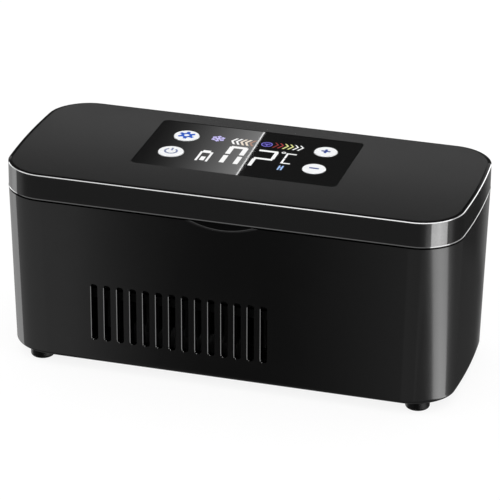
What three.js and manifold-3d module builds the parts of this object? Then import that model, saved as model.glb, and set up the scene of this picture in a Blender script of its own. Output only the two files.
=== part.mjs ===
// Portable insulin cooling case: a hinged insulated box with a cold tray, a thermoelectric cooler and fan
// below it, rechargeable cells beside them, and a display with four push buttons in the lid.
// Millimetres, +Z up, +X along the case, front at -Y. The origin is on the floor under the case's middle.

import * as THREE from "three";
import { mergeVertices } from "three/addons/utils/BufferGeometryUtils.js";
import Module from "manifold-3d";

const wasm = await Module();
wasm.setup();

// Case and lid shells
const CASE_LENGTH = 201.4;
const CASE_DEPTH = 85;
const CORNER_RADIUS = 17;
const CORNER_STEPS = 8;
const END_BOW = 2.6;
const END_STEPS = 4;
const WALL = 2.8;
const BODY_DRAFT = 1.7;
const BODY_BOTTOM = 5.2;
const BODY_TOP = 78;
const BOTTOM_ROUNDING = 1.5;
const ROUNDING_STEPS = 2;
const SEAM_EDGE = 0.35;
const LID_BOTTOM = 78.6;
const LID_TOP = 89.7;
const LID_WALL = 2.4;
const LID_CEILING = 87.3;
const LID_EDGE = 0.9;
const TOUCH_GAP = 0.1;
const FIT_GAP = 0.3;
const CUT_MARGIN = 1;

// Vent slots and finger scoop in the front wall
const VENT_COUNT = 14;
const VENT_FIRST_X = -57.2;
const VENT_PITCH = 5.82;
const VENT_WIDTH = 3;
const VENT_ROUNDING = 1.3;
const VENT_LOW = 15.1;
const VENT_HIGH = 41.7;
const SCOOP_ARC_RADIUS = 36.4;
const SCOOP_LOWEST = 74.3;
const SCOOP_DEPTH = 2;
const SCOOP_STEPS = 4;
const SCOOP_SIDES = 72;

// Hinge in the groove along the rear edge
const HINGE_Y = 39.6;
const HINGE_Z = (BODY_TOP + LID_BOTTOM) / 2;
const HINGE_X = 60;
const GROOVE_ANGLE = 50;
const GROOVE_REACH = 8;
const KNUCKLE_RADIUS = 2.2;
const KNUCKLE_GAP = 0.4;
const LID_KNUCKLE_LENGTH = 12;
const CASE_KNUCKLE_LENGTH = 6;
const HINGE_PIN_RADIUS = 1;
const HINGE_PIN_HOLE_RADIUS = 1.3;
const HINGE_LENGTH = LID_KNUCKLE_LENGTH + 2 * (KNUCKLE_GAP + CASE_KNUCKLE_LENGTH);

// Feet, base cover and their screws
const FOOT_X = 84;
const FOOT_Y = 32;
const FOOT_RADIUS = 5.4;
const FOOT_ROUNDING = 1.2;
const FOOT_EDGE_SHARE = 0.3;
const FOOT_POCKET_RADIUS = 2.9;
const FOOT_POCKET_TOP = 2.6;
const FOOT_SCREW_HEAD = 0.8;
const FOOT_SCREW_TIP = 24;
const BASE_BOTTOM = 5.7;
const BASE_TOP = 8.1;
const BOSS_RADIUS = 4;
const BOSS_TOP = 28;
const BOSS_RIB_WIDTH = 3;
const SCREW_RADIUS = 1.3;
const SCREW_HEAD_RADIUS = 2.5;
const SCREW_HOLE_RADIUS = 1.7;
const SCREW_SIDES = 8;
const GRILLE_SLOTS = 8;
const GRILLE_PITCH = 5.2;
const GRILLE_SLOT_WIDTH = 3;
const GRILLE_SLOT_LENGTH = 38;

// Cold tray, deck, insulation and gasket
const TRAY_LENGTH = 168;
const TRAY_DEPTH = 56;
const TRAY_RADIUS = 5.2;
const TRAY_WALL = 1.2;
const TRAY_BOTTOM = 46.3;
const TRAY_FLANGE = 2.5;
const TRAY_FLANGE_THICKNESS = 0.8;
const DECK_BOTTOM = 74.2;
const DECK_TOP = 76.8;
const DECK_LEDGE = 1.6;
const DECK_LEDGE_THICKNESS = 1.1;
const DECK_OPENING_GAP = 0.5;
const FOAM_BOTTOM = 39.2;
const FOAM_TOP = 72.9;
const FOAM_GAP = 0.6;
const GASKET_WIDTH = 3;
const GASKET_CLEARANCE = 0.8;
const GASKET_LIFT = 0.15;

// Cooling stack, centred behind the vent slots
const COOLER_X = VENT_FIRST_X + ((VENT_COUNT - 1) * VENT_PITCH) / 2;
const COOLER_Y = -4;
const FAN_BOTTOM = 9.4;
const FAN_TOP = 19.4;
const FAN_SIZE = 50;
const FAN_CORNER_RADIUS = 4;
const FAN_BORE_RADIUS = 23.6;
const FAN_HOLE_OFFSET = 20;
const FAN_SCREW_TIP = 27;
const FAN_PLATE_THICKNESS = 1;
const FAN_STRUT_WIDTH = 3;
const FAN_HUB_RADIUS = 11.2;
const FAN_HUB_WALL = 1.4;
const FAN_HUB_SIDES = 20;
const FAN_BORE_SIDES = 24;
const FAN_HUB_BOTTOM = 11;
const FAN_HUB_TOP = 18.6;
const FAN_TIP_RADIUS = 22.6;
const FAN_BLADES = 7;
const FAN_BLADE_TILT = 45;
const FAN_BLADE_CHORD = 8.4;
const FAN_BLADE_THICKNESS = 1.2;
const FAN_SHAFT_RADIUS = 1.5;
const FAN_BEARING_BORE = 1.7;
const FAN_BEARING_RADIUS = 2.9;
const FAN_SLEEVE_BORE = 3.1;
const FAN_SLEEVE_RADIUS = 4.4;
const FAN_SLEEVE_TOP = 16.6;
const SINK_LENGTH = 84;
const SINK_DEPTH = 64;
const SINK_FIN_BOTTOM = 19.6;
const SINK_BASE_BOTTOM = 33;
const SINK_TOP = 37;
const SINK_FINS = 20;
const SINK_FIN_THICKNESS = 1.2;
const PELTIER_SIZE = 40;
const PELTIER_PLATE = 0.8;
const PELTIER_CORE_INSET = 1;
const PELTIER_BOTTOM = SINK_TOP + TOUCH_GAP;
const PELTIER_TOP = 40.7;
const COLD_BLOCK_LENGTH = 64;
const COLD_BLOCK_DEPTH = 40;
const COLD_BLOCK_RADIUS = 2;
const COLD_BLOCK_BOTTOM = PELTIER_TOP + TOUCH_GAP;
const COLD_BLOCK_TOP = TRAY_BOTTOM - TOUCH_GAP;
const CLAMP_SCREW_OFFSET = 27;
const CLAMP_HEAD_BOTTOM = 44.1;
const CLAMP_SCREW_TIP = 34;

// Cells, boards, charging socket and leads
const CELL_RADIUS = 9.1;
const CELL_LENGTH = 65;
const CELL_LEFT = 25.6;
const CELL_ROWS = [
  { name: "front", y: -14.7 },
  { name: "rear", y: 4.3 },
];
const CELL_CENTRE_Z = 18.7;
const CELL_CAP_RADIUS = 3;
const CELL_CAP_HEIGHT = 1;
const CELL_SIDES = 20;
const CRADLE_WALL = 1.6;
const CRADLE_FLOOR = 1.2;
const CRADLE_LIP = 4.8;
const CRADLE_FRONT = -25;
const CRADLE_REAR = 14.6;
const BOARD_THICKNESS = 1.6;
const MAIN_BOARD_BOTTOM = 28.6;
const MAIN_BOARD_TOP = MAIN_BOARD_BOTTOM + BOARD_THICKNESS;
const MAIN_BOARD_LEFT = 28;
const MAIN_BOARD_RIGHT = 84;
const MAIN_BOARD_FRONT = -24;
const MAIN_BOARD_REAR = 30;
const BOARD_CHIP = { left: 48, right: 58, front: -6, rear: 4, height: 1.2 };
const BOARD_COIL = { left: 64, right: 76, front: -18, rear: -6, height: 5 };
const BOARD_CONNECTOR = { left: 31, right: 43, front: 12, rear: 17, height: 4 };
const CAPACITOR_PLACES = [[46, -16], [54, -16]];
const CAPACITOR_RADIUS = 3;
const CAPACITOR_HEIGHT = 6.5;
const SOCKET_X = 60;
const SOCKET_Z = 23.6;
const SOCKET_HALF_WIDTH = 4.7;
const SOCKET_FRONT = 24.5;
const SOCKET_SHOULDER = 37.5;
const SOCKET_NOSE_END = 41.2;
const SOCKET_NOSE_RADIUS = 4;
const SOCKET_BORE_RADIUS = 3.1;
const SOCKET_BORE_DEPTH = 9;
const SOCKET_PIN_RADIUS = 1;
const LEAD_RADIUS = 0.7;
const LEAD_STEPS = 14;
const LEAD_ARC_STEPS = 3;
const LEAD_LEVEL = (SINK_TOP + FOAM_BOTTOM) / 2;
const LEAD_LANDING_X = 34;
const LEAD_LANDING_Z = MAIN_BOARD_TOP + TOUCH_GAP;
const PELTIER_EDGE = COOLER_X + PELTIER_SIZE / 2;
const PELTIER_LEAD_OFFSET = 6;
const PELTIER_LEAD_LEVEL_RUN = [FIT_GAP, 10, 22];
const PELTIER_LEAD_DROP = [
  [LEAD_LANDING_X - 4, 37],
  [LEAD_LANDING_X, 33.5],
  [LEAD_LANDING_X, LEAD_LANDING_Z],
];
const FAN_SIDE = COOLER_X + FAN_SIZE / 2 + FIT_GAP;
const FAN_LEAD_ROUTE = [
  [FAN_SIDE, -21, 13],
  [FAN_SIDE + 4, -21.5, 13],
  [FAN_SIDE + 14, -28.5, 14.5],
  [FAN_SIDE + 21, -29.5, 21],
  [FAN_SIDE + 24, -28.5, 30],
  [LEAD_LANDING_X, -24, 34],
  [LEAD_LANDING_X, -20.5, 33],
  [LEAD_LANDING_X, -20, LEAD_LANDING_Z],
];
const RIBBON_X = 34;
const RIBBON_Y = 36.8;
const RIBBON_WIDTH = 10;
const RIBBON_THICKNESS = 0.5;
const RIBBON_BEND = 1.3;
const RIBBON_END_Y = 24;
const RIBBON_SLOT_LENGTH = 12;
const RIBBON_SLOT_WIDTH = 1.6;

// Display panel, boards and buttons in the lid
const PANEL_X = -3;
const PANEL_Y = 7.3;
const PANEL_LENGTH = 90.6;
const PANEL_DEPTH = 49.3;
const PANEL_RADIUS = 3.5;
const PANEL_BOTTOM = 88.6;
const PANEL_TOP = 89.6;
const PANEL_LEDGE = 3.2;
const PANEL_OPENING_RADIUS = 2;
const LCD_X = -2.6;
const LCD_LENGTH = 48.6;
const LCD_DEPTH = 35;
const LCD_BOTTOM = 84.4;
const LCD_TOP = 88.4;
const LCD_BEZEL = 1.5;
const LCD_GLASS = 1.1;
const DISPLAY_BOARD_BOTTOM = 82.7;
const DISPLAY_BOARD_LENGTH = 86;
const DISPLAY_BOARD_DEPTH = 46;
const DISPLAY_BOARD_RADIUS = 2;
const BUTTONS = [
  { name: "mode", x: -33.7, y: 17.35, radius: 5.7 },
  { name: "power", x: -35, y: -1.3, radius: 5.7 },
  { name: "plus", x: 28.7, y: 18.1, radius: 5.2 },
  { name: "minus", x: 28.65, y: -1.2, radius: 5.2 },
];
const BUTTON_TOP = 90;
const BUTTON_SIDES = 20;
const BUTTON_EDGE = 0.3;
const BUTTON_GAP = 0.15;
const BUTTON_FLANGE = 0.7;
const BUTTON_FLANGE_BOTTOM = 86.9;
const SWITCH_SIZE = 6;
const SWITCH_BODY_TOP = 85.6;
const SWITCH_STEM_TOP = 86.2;
const SWITCH_STEM_RADIUS = 1.7;

// Lid liner with its pad, insulation, screws and magnets
const LINER_BOTTOM = 79;
const LINER_TOP = 80.8;
const LINER_PAD_BOTTOM = 77.9;
const LINER_PAD_LENGTH = 160;
const LINER_PAD_DEPTH = 50;
const LINER_PAD_RADIUS = 5;
const LID_FOAM_LENGTH = 159;
const LID_FOAM_DEPTH = 66;
const LID_FOAM_RADIUS = 6;
const LID_FOAM_TOP = 87;
const LID_FOAM_CLEARANCE = 1;
const LID_SCREW_X = 83.2;
const LID_SCREW_Y = 22;
const LID_BOSS_RADIUS = 3;
const LID_SCREW_RADIUS = 1.2;
const LID_SCREW_HOLE_RADIUS = 1.5;
const LID_SCREW_HEAD_RADIUS = 2.4;
const LID_SCREW_HEAD_TOP = 80.4;
const LID_SCREW_TIP = 86;
const MAGNET_X = 40;
const MAGNET_Y = -36.6;
const MAGNET_RADIUS = 2;
const MAGNET_POCKET_RADIUS = 2.15;
const MAGNET_HEIGHT = 1.7;

const CORNERS = [
  { name: "front_left", x: -1, y: -1 },
  { name: "front_right", x: 1, y: -1 },
  { name: "rear_left", x: -1, y: 1 },
  { name: "rear_right", x: 1, y: 1 },
];
const SIDES = [
  { name: "left", x: -1 },
  { name: "right", x: 1 },
];

// Finishes
const finish = (color, roughness, metalness = 0) =>
  new THREE.MeshStandardMaterial({ color, roughness, metalness });
const glossBlack = finish(0x17171a, 0.25);
const satinBlack = finish(0x2b2b2e, 0.4);
const mattBlack = finish(0x1d1d1f, 0.7);
const rubberBlack = finish(0x101010, 0.85);
const panelBlack = finish(0x050507, 0.08);
const keyWhite = finish(0xe9eef2, 0.3);
const foamBlack = finish(0x1c1c1e, 0.95);
const siliconeGrey = finish(0x6b6e72, 0.7);
const aluminium = finish(0xc4c7ca, 0.35, 1);
const anodisedBlack = finish(0x202124, 0.5, 1);
const steel = finish(0xb5b7ba, 0.3, 1);
const nickel = finish(0xd4d2cb, 0.2, 1);
const bronze = finish(0xa97a3c, 0.4, 1);
const ceramicWhite = finish(0xeeece6, 0.6);
const boardGreen = finish(0x14532d, 0.5);
const cellBlue = finish(0x1f5fa8, 0.35);
const leadRed = finish(0xb01818, 0.5);
const leadBlack = finish(0x151515, 0.5);
const ribbonWhite = finish(0xdedede, 0.45);

// Joining and cutting closed meshes
const MERGE_DISTANCE = 1e-4;

function solid(geometry) {
  const bare = geometry.clone();
  bare.deleteAttribute("normal");
  bare.deleteAttribute("uv");
  const merged = mergeVertices(bare, MERGE_DISTANCE);
  const corners = merged.index.array;
  const triangles = [];
  for (let i = 0; i < corners.length; i += 3) {
    const [a, b, c] = corners.slice(i, i + 3);
    if (a !== b && b !== c && c !== a) triangles.push(a, b, c);
  }
  return new wasm.Manifold(
    new wasm.Mesh({
      numProp: 3,
      vertProperties: Float32Array.from(merged.attributes.position.array),
      triVerts: Uint32Array.from(triangles),
    }),
  );
}

function geometryOf(body) {
  const mesh = body.getMesh();
  const geometry = new THREE.BufferGeometry();
  geometry.setAttribute("position", new THREE.BufferAttribute(Float32Array.from(mesh.vertProperties), 3));
  geometry.setIndex(Array.from(mesh.triVerts));
  geometry.computeVertexNormals();
  return geometry;
}

function join(first, ...others) {
  return geometryOf(others.reduce((body, other) => body.add(solid(other)), solid(first)));
}

function cut(first, ...tools) {
  return geometryOf(tools.reduce((body, tool) => body.subtract(solid(tool)), solid(first)));
}

// Basic forms, each standing between a low and a high level
const ROD_SIDES = 12;
const UPRIGHT_SIDES = 10;
const TURNED_SIDES = 14;
const COARSE_ARC = 1;
const FAIR_ARC = 3;
const radians = THREE.MathUtils.degToRad;

function box(low, high) {
  const size = high.map((value, i) => value - low[i]);
  const middle = high.map((value, i) => (value + low[i]) / 2);
  return new THREE.BoxGeometry(...size).translate(...middle);
}

function upright(radius, low, high, sides = UPRIGHT_SIDES) {
  const cylinder = new THREE.CylinderGeometry(radius, radius, high - low, sides);
  return cylinder.rotateX(Math.PI / 2).translate(0, 0, (low + high) / 2);
}

function rodAlongX(radius, length, sides = ROD_SIDES) {
  return new THREE.CylinderGeometry(radius, radius, length, sides).rotateZ(Math.PI / 2);
}

function rodAlongY(radius, front, rear) {
  const rod = new THREE.CylinderGeometry(radius, radius, rear - front, ROD_SIDES);
  return rod.translate(0, (front + rear) / 2, 0);
}

function turned(profile, sides = TURNED_SIDES) {
  const points = profile.map(([radius, height]) => new THREE.Vector2(radius, height));
  return new THREE.LatheGeometry(points, sides).rotateX(Math.PI / 2);
}

function turnedRing(profile) {
  return turned([...profile, profile[0]]);
}

function roundedRectangle(width, depth, radius) {
  const x = width / 2 - radius;
  const y = depth / 2 - radius;
  const shape = new THREE.Shape();
  shape.absarc(x, -y, radius, -Math.PI / 2, 0);
  shape.absarc(x, y, radius, 0, Math.PI / 2);
  shape.absarc(-x, y, radius, Math.PI / 2, Math.PI);
  shape.absarc(-x, -y, radius, Math.PI, Math.PI * 1.5);
  return shape;
}

function polygon(points) {
  return new THREE.Shape(points.map(([x, y]) => new THREE.Vector2(x, y)));
}

function slab(shape, low, high, curveSegments = FAIR_ARC) {
  const settings = { depth: high - low, bevelEnabled: false, curveSegments };
  return new THREE.ExtrudeGeometry(shape, settings).translate(0, 0, low);
}

function slabAlongX(shape, left, right) {
  const settings = { depth: right - left, bevelEnabled: false };
  const standing = new THREE.ExtrudeGeometry(shape, settings).rotateX(Math.PI / 2);
  return standing.rotateZ(Math.PI / 2).translate(left, 0, 0);
}

function slabAlongY(shape, front, rear) {
  const settings = { depth: rear - front, bevelEnabled: false, curveSegments: COARSE_ARC };
  return new THREE.ExtrudeGeometry(shape, settings).rotateX(Math.PI / 2).translate(0, rear, 0);
}

function tube(points) {
  const section = new THREE.Shape().absarc(0, 0, LEAD_RADIUS, 0, Math.PI * 2);
  const route = new THREE.CatmullRomCurve3(points.map((point) => new THREE.Vector3(...point)));
  const settings = { steps: LEAD_STEPS, extrudePath: route, curveSegments: LEAD_ARC_STEPS };
  return new THREE.ExtrudeGeometry(section, settings);
}

// The plan of the case: a rounded rectangle whose short ends bow outward
function casePlan(inset) {
  const halfLength = CASE_LENGTH / 2 - END_BOW - inset;
  const halfDepth = CASE_DEPTH / 2 - inset;
  const radius = CORNER_RADIUS - inset;
  const straight = halfDepth - radius;
  const points = [];
  const addCorner = (sideX, sideY, start) => {
    for (let step = 0; step <= CORNER_STEPS; step += 1) {
      const angle = start + ((step / CORNER_STEPS) * Math.PI) / 2;
      const x = sideX * (halfLength - radius) + radius * Math.cos(angle);
      points.push(new THREE.Vector2(x, sideY * straight + radius * Math.sin(angle)));
    }
  };
  const addEnd = (side) => {
    for (let step = 1; step < END_STEPS; step += 1) {
      points.push(new THREE.Vector2(side * halfLength, side * straight * ((2 * step) / END_STEPS - 1)));
    }
  };
  addCorner(1, 1, 0);
  addCorner(-1, 1, Math.PI / 2);
  addEnd(-1);
  addCorner(-1, -1, Math.PI);
  addCorner(1, -1, Math.PI * 1.5);
  addEnd(1);
  for (const point of points) {
    point.x += Math.sign(point.x) * END_BOW * (1 - (point.y / halfDepth) ** 2);
  }
  return points;
}

// A closed solid through case plans stacked from the bottom up, each with its inset and height
function caseLoft(levels) {
  const rings = levels.map(({ inset }) => casePlan(inset));
  const count = rings[0].length;
  const positions = rings.flatMap((ring, level) => ring.flatMap(({ x, y }) => [x, y, levels[level].z]));
  const index = [];
  for (let level = 0; level < levels.length - 1; level += 1) {
    for (let i = 0; i < count; i += 1) {
      const here = level * count + i;
      const next = level * count + ((i + 1) % count);
      index.push(here, next, next + count, here, next + count, here + count);
    }
  }
  const top = (levels.length - 1) * count;
  for (const [a, b, c] of THREE.ShapeUtils.triangulateShape(rings[0], [])) {
    index.push(c, b, a, top + a, top + b, top + c);
  }
  const geometry = new THREE.BufferGeometry();
  geometry.setAttribute("position", new THREE.Float32BufferAttribute(positions, 3));
  geometry.setIndex(index);
  return geometry;
}

const caseSlab = (inset, low, high) => caseLoft([{ inset, z: low }, { inset, z: high }]);
const draftAt = (z) => (BODY_DRAFT * (BODY_TOP - z)) / (BODY_TOP - BODY_BOTTOM);

// Screws: a head at the lower end and a plain shank upward, or the other way round
function screwUp(headLow, headHigh, tip) {
  const head = [[0, headLow], [SCREW_HEAD_RADIUS, headLow], [SCREW_HEAD_RADIUS, headHigh]];
  const shank = [[SCREW_RADIUS, headHigh], [SCREW_RADIUS, tip], [0, tip]];
  return turned([...head, ...shank], SCREW_SIDES);
}

function screwDown(tip, headLow, headHigh) {
  const shank = [[0, tip], [SCREW_RADIUS, tip], [SCREW_RADIUS, headLow]];
  const head = [[SCREW_HEAD_RADIUS, headLow], [SCREW_HEAD_RADIUS, headHigh], [0, headHigh]];
  return turned([...shank, ...head], SCREW_SIDES);
}

// Hinge: three knuckles on one pin at each station, in a groove that lets the lid swing back
function hingeGroove() {
  const rise = GROOVE_REACH * Math.tan(radians(GROOVE_ANGLE));
  const outer = HINGE_Y + GROOVE_REACH;
  const wedge = polygon([[HINGE_Y, HINGE_Z], [outer, HINGE_Z - rise], [outer, HINGE_Z + rise]]);
  return slabAlongX(wedge, -CASE_LENGTH, CASE_LENGTH);
}

const hingeRod = (radius, length, x) => rodAlongX(radius, length).translate(x, HINGE_Y, HINGE_Z);

function stationRods(radius, length) {
  return SIDES.map((side) => hingeRod(radius, length, side.x * HINGE_X));
}

function caseKnuckleRods(radius, length) {
  const offset = LID_KNUCKLE_LENGTH / 2 + KNUCKLE_GAP + CASE_KNUCKLE_LENGTH / 2;
  const middles = SIDES.flatMap((side) => [side.x * HINGE_X - offset, side.x * HINGE_X + offset]);
  return middles.map((x) => hingeRod(radius, length, x));
}

const RELIEF_RADIUS = KNUCKLE_RADIUS + KNUCKLE_GAP;
const hingeReliefs = () => stationRods(RELIEF_RADIUS, HINGE_LENGTH + 2 * KNUCKLE_GAP);
const pinHoles = () => stationRods(HINGE_PIN_HOLE_RADIUS, HINGE_LENGTH + CUT_MARGIN);

// Outer casing
function ventSlots() {
  const front = -CASE_DEPTH / 2;
  const slot = roundedRectangle(VENT_WIDTH, VENT_HIGH - VENT_LOW, VENT_ROUNDING);
  return Array.from({ length: VENT_COUNT }, (_, i) =>
    slabAlongY(slot, front - CUT_MARGIN, front + BODY_DRAFT + WALL + CUT_MARGIN)
      .translate(VENT_FIRST_X + i * VENT_PITCH, 0, (VENT_LOW + VENT_HIGH) / 2));
}

// The scoop is a slice of a large sphere that meets the front face in an arc
function fingerScoop() {
  const centreZ = SCOOP_LOWEST + SCOOP_ARC_RADIUS;
  const seamDistance = centreZ - HINGE_Z;
  const sphereCentre = (SCOOP_ARC_RADIUS ** 2 - seamDistance ** 2 - SCOOP_DEPTH ** 2) / (2 * SCOOP_DEPTH);
  const sphereRadius = Math.hypot(SCOOP_ARC_RADIUS, sphereCentre);
  const deepest = SCOOP_DEPTH + CUT_MARGIN;
  const innerRadius = Math.sqrt(sphereRadius ** 2 - (sphereCentre + deepest) ** 2);
  const profile = [new THREE.Vector2(innerRadius, -CUT_MARGIN)];
  for (let step = 0; step <= SCOOP_STEPS; step += 1) {
    const y = -CUT_MARGIN + ((deepest + CUT_MARGIN) * step) / SCOOP_STEPS;
    profile.push(new THREE.Vector2(Math.sqrt(sphereRadius ** 2 - (sphereCentre + y) ** 2), y));
  }
  profile.push(profile[0]);
  return new THREE.LatheGeometry(profile, SCOOP_SIDES).translate(0, -CASE_DEPTH / 2, centreZ);
}

function footBosses() {
  const centreX = CASE_LENGTH / 2 - END_BOW - CORNER_RADIUS;
  const centreY = CASE_DEPTH / 2 - CORNER_RADIUS;
  const start = Math.hypot(FOOT_X - centreX, FOOT_Y - centreY);
  const end = CORNER_RADIUS - BODY_DRAFT - WALL / 2;
  const low = BASE_TOP + TOUCH_GAP;
  return CORNERS.flatMap((corner) => {
    const angle = Math.atan2(corner.y * (FOOT_Y - centreY), corner.x * (FOOT_X - centreX));
    const rib = box([start, -BOSS_RIB_WIDTH / 2, low], [end, BOSS_RIB_WIDTH / 2, BOSS_TOP]).rotateZ(angle);
    return [
      upright(BOSS_RADIUS, low, BOSS_TOP).translate(corner.x * FOOT_X, corner.y * FOOT_Y, 0),
      rib.translate(corner.x * centreX, corner.y * centreY, 0),
    ];
  });
}

const atFeet = (radius, low, high) =>
  CORNERS.map((corner) => upright(radius, low, high).translate(corner.x * FOOT_X, corner.y * FOOT_Y, 0));

function outerCasing() {
  const outside = [];
  for (let step = 0; step <= ROUNDING_STEPS; step += 1) {
    const angle = ((step / ROUNDING_STEPS) * Math.PI) / 2;
    outside.push({
      inset: BODY_DRAFT + BOTTOM_ROUNDING * (1 - Math.sin(angle)),
      z: BODY_BOTTOM + BOTTOM_ROUNDING * (1 - Math.cos(angle)),
    });
  }
  outside.push({ inset: 0, z: BODY_TOP - SEAM_EDGE }, { inset: SEAM_EDGE, z: BODY_TOP });
  const inside = caseLoft([
    { inset: BODY_DRAFT + WALL, z: BODY_BOTTOM - CUT_MARGIN },
    { inset: WALL, z: BODY_TOP + CUT_MARGIN },
  ]);
  const ledgeTop = DECK_BOTTOM - TOUCH_GAP;
  const ledgeBottom = ledgeTop - DECK_LEDGE_THICKNESS;
  const ledgeHole = caseSlab(WALL + DECK_LEDGE, ledgeBottom - CUT_MARGIN, ledgeTop + CUT_MARGIN);
  const ledge = cut(caseSlab(WALL / 2, ledgeBottom, ledgeTop), ledgeHole);
  const socketHole = rodAlongY(SOCKET_NOSE_RADIUS + FIT_GAP, SOCKET_SHOULDER, CASE_DEPTH / 2 + CUT_MARGIN);
  const shell = cut(
    join(cut(caseLoft(outside), inside), ledge, ...footBosses()),
    ...atFeet(SCREW_HOLE_RADIUS, BODY_BOTTOM, BOSS_TOP + CUT_MARGIN),
    ...ventSlots(),
    fingerScoop(),
    socketHole.translate(SOCKET_X, 0, SOCKET_Z),
    hingeGroove(),
    ...stationRods(RELIEF_RADIUS, LID_KNUCKLE_LENGTH + 2 * KNUCKLE_GAP),
  );
  return cut(join(shell, ...caseKnuckleRods(KNUCKLE_RADIUS, CASE_KNUCKLE_LENGTH)), ...pinHoles());
}

function baseCover() {
  const slot = roundedRectangle(GRILLE_SLOT_WIDTH, GRILLE_SLOT_LENGTH, GRILLE_SLOT_WIDTH / 2 - TOUCH_GAP);
  const grille = Array.from({ length: GRILLE_SLOTS }, (_, i) =>
    slab(slot, BASE_BOTTOM - CUT_MARGIN, BASE_TOP + CUT_MARGIN, COARSE_ARC)
      .translate(COOLER_X + (i - (GRILLE_SLOTS - 1) / 2) * GRILLE_PITCH, COOLER_Y, 0));
  const plate = caseSlab(BODY_DRAFT + WALL + FIT_GAP, BASE_BOTTOM, BASE_TOP);
  return cut(plate, ...grille, ...atFeet(SCREW_HOLE_RADIUS, BASE_BOTTOM - CUT_MARGIN, BASE_TOP + CUT_MARGIN));
}

function rubberFoot() {
  const top = BASE_BOTTOM - TOUCH_GAP;
  return turnedRing([
    [FOOT_POCKET_RADIUS, 0],
    [FOOT_RADIUS - FOOT_ROUNDING, 0],
    [FOOT_RADIUS - FOOT_ROUNDING * FOOT_EDGE_SHARE, FOOT_ROUNDING * FOOT_EDGE_SHARE],
    [FOOT_RADIUS, FOOT_ROUNDING],
    [FOOT_RADIUS, top],
    [SCREW_HOLE_RADIUS, top],
    [SCREW_HOLE_RADIUS, FOOT_POCKET_TOP],
    [FOOT_POCKET_RADIUS, FOOT_POCKET_TOP],
  ]);
}

function footScrew() {
  return screwUp(FOOT_SCREW_HEAD, FOOT_POCKET_TOP - TOUCH_GAP, FOOT_SCREW_TIP);
}

// Cold side
const trayOutline = (grow) =>
  roundedRectangle(TRAY_LENGTH + 2 * grow, TRAY_DEPTH + 2 * grow, TRAY_RADIUS + grow);

function coldTray() {
  const top = DECK_TOP + TOUCH_GAP + TRAY_FLANGE_THICKNESS;
  const body = slab(trayOutline(0), TRAY_BOTTOM, top);
  const flange = slab(trayOutline(TRAY_FLANGE), DECK_TOP + TOUCH_GAP, top);
  return cut(join(body, flange), slab(trayOutline(-TRAY_WALL), TRAY_BOTTOM + TRAY_WALL, top + CUT_MARGIN));
}

function ribbonSlot(low, high) {
  const halfLength = RIBBON_SLOT_LENGTH / 2;
  const halfWidth = RIBBON_SLOT_WIDTH / 2;
  return box([-halfLength, -halfWidth, low], [halfLength, halfWidth, high]).translate(RIBBON_X, RIBBON_Y, 0);
}

const atMagnets = (radius, low, high) =>
  SIDES.map((side) => upright(radius, low, high).translate(side.x * MAGNET_X, MAGNET_Y, 0));

function innerDeck() {
  const low = DECK_BOTTOM - CUT_MARGIN;
  const high = DECK_TOP + CUT_MARGIN;
  const pocketFloor = DECK_TOP - MAGNET_HEIGHT - TOUCH_GAP;
  return cut(
    caseSlab(WALL + FIT_GAP, DECK_BOTTOM, DECK_TOP),
    slab(trayOutline(DECK_OPENING_GAP), low, high),
    ribbonSlot(low, high),
    ...atMagnets(MAGNET_POCKET_RADIUS, pocketFloor, high),
    ...hingeReliefs(),
  );
}

function trayInsulation() {
  const gap = 2 * FIT_GAP;
  const passage = roundedRectangle(COLD_BLOCK_LENGTH + gap, COLD_BLOCK_DEPTH + gap, COLD_BLOCK_RADIUS);
  const ribbonChannel = box(
    [RIBBON_X - RIBBON_SLOT_LENGTH / 2, RIBBON_Y - RIBBON_SLOT_WIDTH, FOAM_BOTTOM - CUT_MARGIN],
    [RIBBON_X + RIBBON_SLOT_LENGTH / 2, CASE_DEPTH / 2, FOAM_TOP + CUT_MARGIN],
  );
  const block = caseLoft([FOAM_BOTTOM, FOAM_TOP].map((z) => ({ inset: WALL + FOAM_GAP + draftAt(z), z })));
  return cut(
    block,
    slab(trayOutline(FIT_GAP), TRAY_BOTTOM - TOUCH_GAP, FOAM_TOP + CUT_MARGIN),
    slab(passage, FOAM_BOTTOM - CUT_MARGIN, TRAY_BOTTOM).translate(COOLER_X, COOLER_Y, 0),
    ribbonChannel,
  );
}

const atClampScrews = (radius, low, high) =>
  SIDES.map((side) => upright(radius, low, high).translate(side.x * CLAMP_SCREW_OFFSET, 0, 0));

function coldBlock() {
  const shape = roundedRectangle(COLD_BLOCK_LENGTH, COLD_BLOCK_DEPTH, COLD_BLOCK_RADIUS);
  return cut(
    slab(shape, COLD_BLOCK_BOTTOM, COLD_BLOCK_TOP, COARSE_ARC),
    ...atClampScrews(SCREW_HOLE_RADIUS, COLD_BLOCK_BOTTOM - CUT_MARGIN, COLD_BLOCK_TOP + CUT_MARGIN),
    ...atClampScrews(SCREW_HEAD_RADIUS + FIT_GAP, CLAMP_HEAD_BOTTOM - TOUCH_GAP, COLD_BLOCK_TOP + CUT_MARGIN),
  );
}

function peltierModule() {
  const plate = PELTIER_SIZE / 2;
  const core = plate - PELTIER_CORE_INSET;
  return join(
    box([-plate, -plate, PELTIER_BOTTOM], [plate, plate, PELTIER_BOTTOM + PELTIER_PLATE]),
    box([-core, -core, PELTIER_BOTTOM + PELTIER_PLATE / 2], [core, core, PELTIER_TOP - PELTIER_PLATE / 2]),
    box([-plate, -plate, PELTIER_TOP - PELTIER_PLATE], [plate, plate, PELTIER_TOP]),
  );
}

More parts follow.
